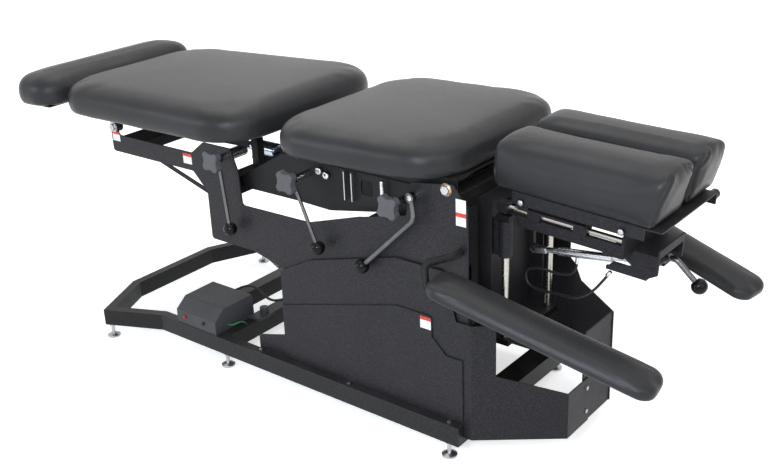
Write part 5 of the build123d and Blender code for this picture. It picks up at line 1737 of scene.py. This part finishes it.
LAMPS = (
    Lamp("overhead softbox", (0.1, 0.2, 2.7), (0.1, 0.0, 0.5), 3.2, 2.4, 29.0, (1.0, 0.985, 0.95)),
    Lamp("near softbox", (-0.3, -3.2, 1.5), (0.0, 0.0, 0.5), 2.6, 1.6, 8.0, (0.92, 0.96, 1.0)),
    Lamp("near window", (1.1, -2.2, 1.55), (0.15, -0.2, 0.65), 0.5, 0.8, 38.0, (0.78, 0.88, 1.0)),
    Lamp("foot window", (-1.9, -2.4, 1.25), (-0.1, -0.2, 0.65), 1.3, 0.7, 20.0, (0.88, 0.93, 1.0)),
    Lamp("foot overhead", (-1.2, 0.5, 2.4), (-0.6, 0.0, 0.6), 1.4, 1.4, 9.0, (1.0, 0.99, 0.96)),
    Lamp("warm window", (1.9, -1.5, 2.2), (0.3, -0.1, 0.65), 0.5, 0.5, 10.0, (1.0, 0.93, 0.72)),
    Lamp("head softbox", (3.0, -0.8, 1.6), (0.4, 0.0, 0.5), 1.6, 1.8, 16.0, (0.94, 0.97, 1.0)),
    Lamp("rear strip", (-1.4, 2.6, 1.9), (0.0, 0.0, 0.6), 2.4, 0.8, 3.0, (1.0, 0.98, 0.95)),
)


@dataclass
class Studio:
    """Pale floor, white surround, soft lamps and the photograph's camera."""

    azimuth: float = 40.007
    elevation: float = 23.040
    roll: float = -2.7356
    distance: float = 2.58119
    target: Point = (0.146777, -0.082618, 0.401111)
    lens: float = 49.2560
    sensor: float = 36.0
    shift: float = 0.02820
    far_clip: float = 100.0
    floor_size: float = 30.0
    floor_colour: Colour = (0.86, 0.86, 0.86)
    sky_colour: Colour = (0.25, 0.253, 0.262)

    def build(self) -> None:
        """Builds the stage, the lamps and the camera."""
        self._floor()
        self._world()
        for lamp in LAMPS:
            lamp.hang()
        self._camera()
        bpy.context.scene.view_settings.view_transform = "Standard"

    def _floor(self) -> None:
        """Lays a pale floor that stays near white and keeps a soft shadow."""
        signs = ((-1, -1), (1, -1), (1, 1), (-1, 1))
        corners = [Vector((x * self.floor_size, y * self.floor_size, 0.0)) for x, y in signs]
        made = mesh_object("studio_floor", corners, [(0, 1, 2, 3)])
        finish = bpy.data.materials.new("studio floor")
        finish.use_nodes = True
        graph = Graph(finish.node_tree)
        shader = finish.node_tree.nodes["Principled BSDF"]
        speckle = graph.group(GROUPS.speckle, Scale=3.0, Cloud_Scale=0.6)
        darker = shaded(self.floor_colour, 0.97)
        tint = graph.blend(speckle.outputs["Cloud"], darker, self.floor_colour)
        shader.inputs["Roughness"].default_value = 0.9
        shader.inputs["Specular IOR Level"].default_value = 0.1
        reach = graph.node("ShaderNodeVectorMath", {0: graph.place()}, operation="LENGTH")
        white = graph.spread(reach.outputs["Value"], 0.3, 2.2, 0.60, 1.0)
        glow = graph.blend(graph.math("MULTIPLY", white, graph.backdrop()), BLACK, WHITE)
        graph.feed(shader, Base_Color=tint, Emission_Color=glow)
        shader.inputs["Emission Strength"].default_value = 1.0
        made.data.materials.append(finish)

    def _world(self) -> None:
        """Surrounds the stage with white that lights it at a plain level."""
        world = bpy.data.worlds.new("studio")
        bpy.context.scene.world = world
        world.use_nodes = True
        world.node_tree.nodes.clear()
        graph = Graph(world.node_tree)
        colour = graph.blend(graph.backdrop(), self.sky_colour, WHITE)
        sky = graph.node("ShaderNodeBackground", {"Color": colour, "Strength": 1.0})
        graph.feed(graph.node("ShaderNodeOutputWorld"), Surface=sky.outputs[0])

    def _camera(self) -> None:
        """Sets the camera at the photograph's angle."""
        turn, rise, roll = radians(self.azimuth), radians(self.elevation), radians(self.roll)
        back = Vector((sin(turn) * cos(rise), -cos(turn) * cos(rise), sin(rise)))
        level = (-back).cross(Vector((0.0, 0.0, 1.0))).normalized()
        upright = level.cross(-back).normalized()
        right = level * cos(roll) + upright * sin(roll)
        up = upright * cos(roll) - level * sin(roll)
        view = bpy.data.cameras.new("photo camera")
        view.lens = self.lens
        view.sensor_width = self.sensor
        view.shift_x = self.shift
        view.clip_end = self.far_clip
        made = bpy.data.objects.new("photo camera", view)
        bpy.context.scene.collection.objects.link(made)
        matrix = Matrix((right, up, back)).transposed().to_4x4()
        matrix.translation = Vector(self.target) + back * self.distance
        made.matrix_world = matrix
        bpy.context.scene.camera = made


def main() -> None:
    """Builds every sub-assembly in order."""
    logging.basicConfig(level=logging.INFO, format="%(message)s")
    steps: list[tuple[str, Callable[[], object]]] = [
        ("studio", Studio().build),
        ("cords", Cords().build),
        ("frame finishes", FrameFinishes().apply),
        ("fittings", Fittings().build),
        ("tabletop", Tabletop().build),
        ("near pillow", Pillow(Side.NEAR).build),
        ("far pillow", Pillow(Side.FAR).build),
        ("near armrest pad", ArmrestPad(Side.NEAR).build),
        ("far armrest pad", ArmrestPad(Side.FAR).build),
    ]
    for label, build in steps:
        build()
        log.info("built %s", label)


if __name__ == "__main__":
    main()
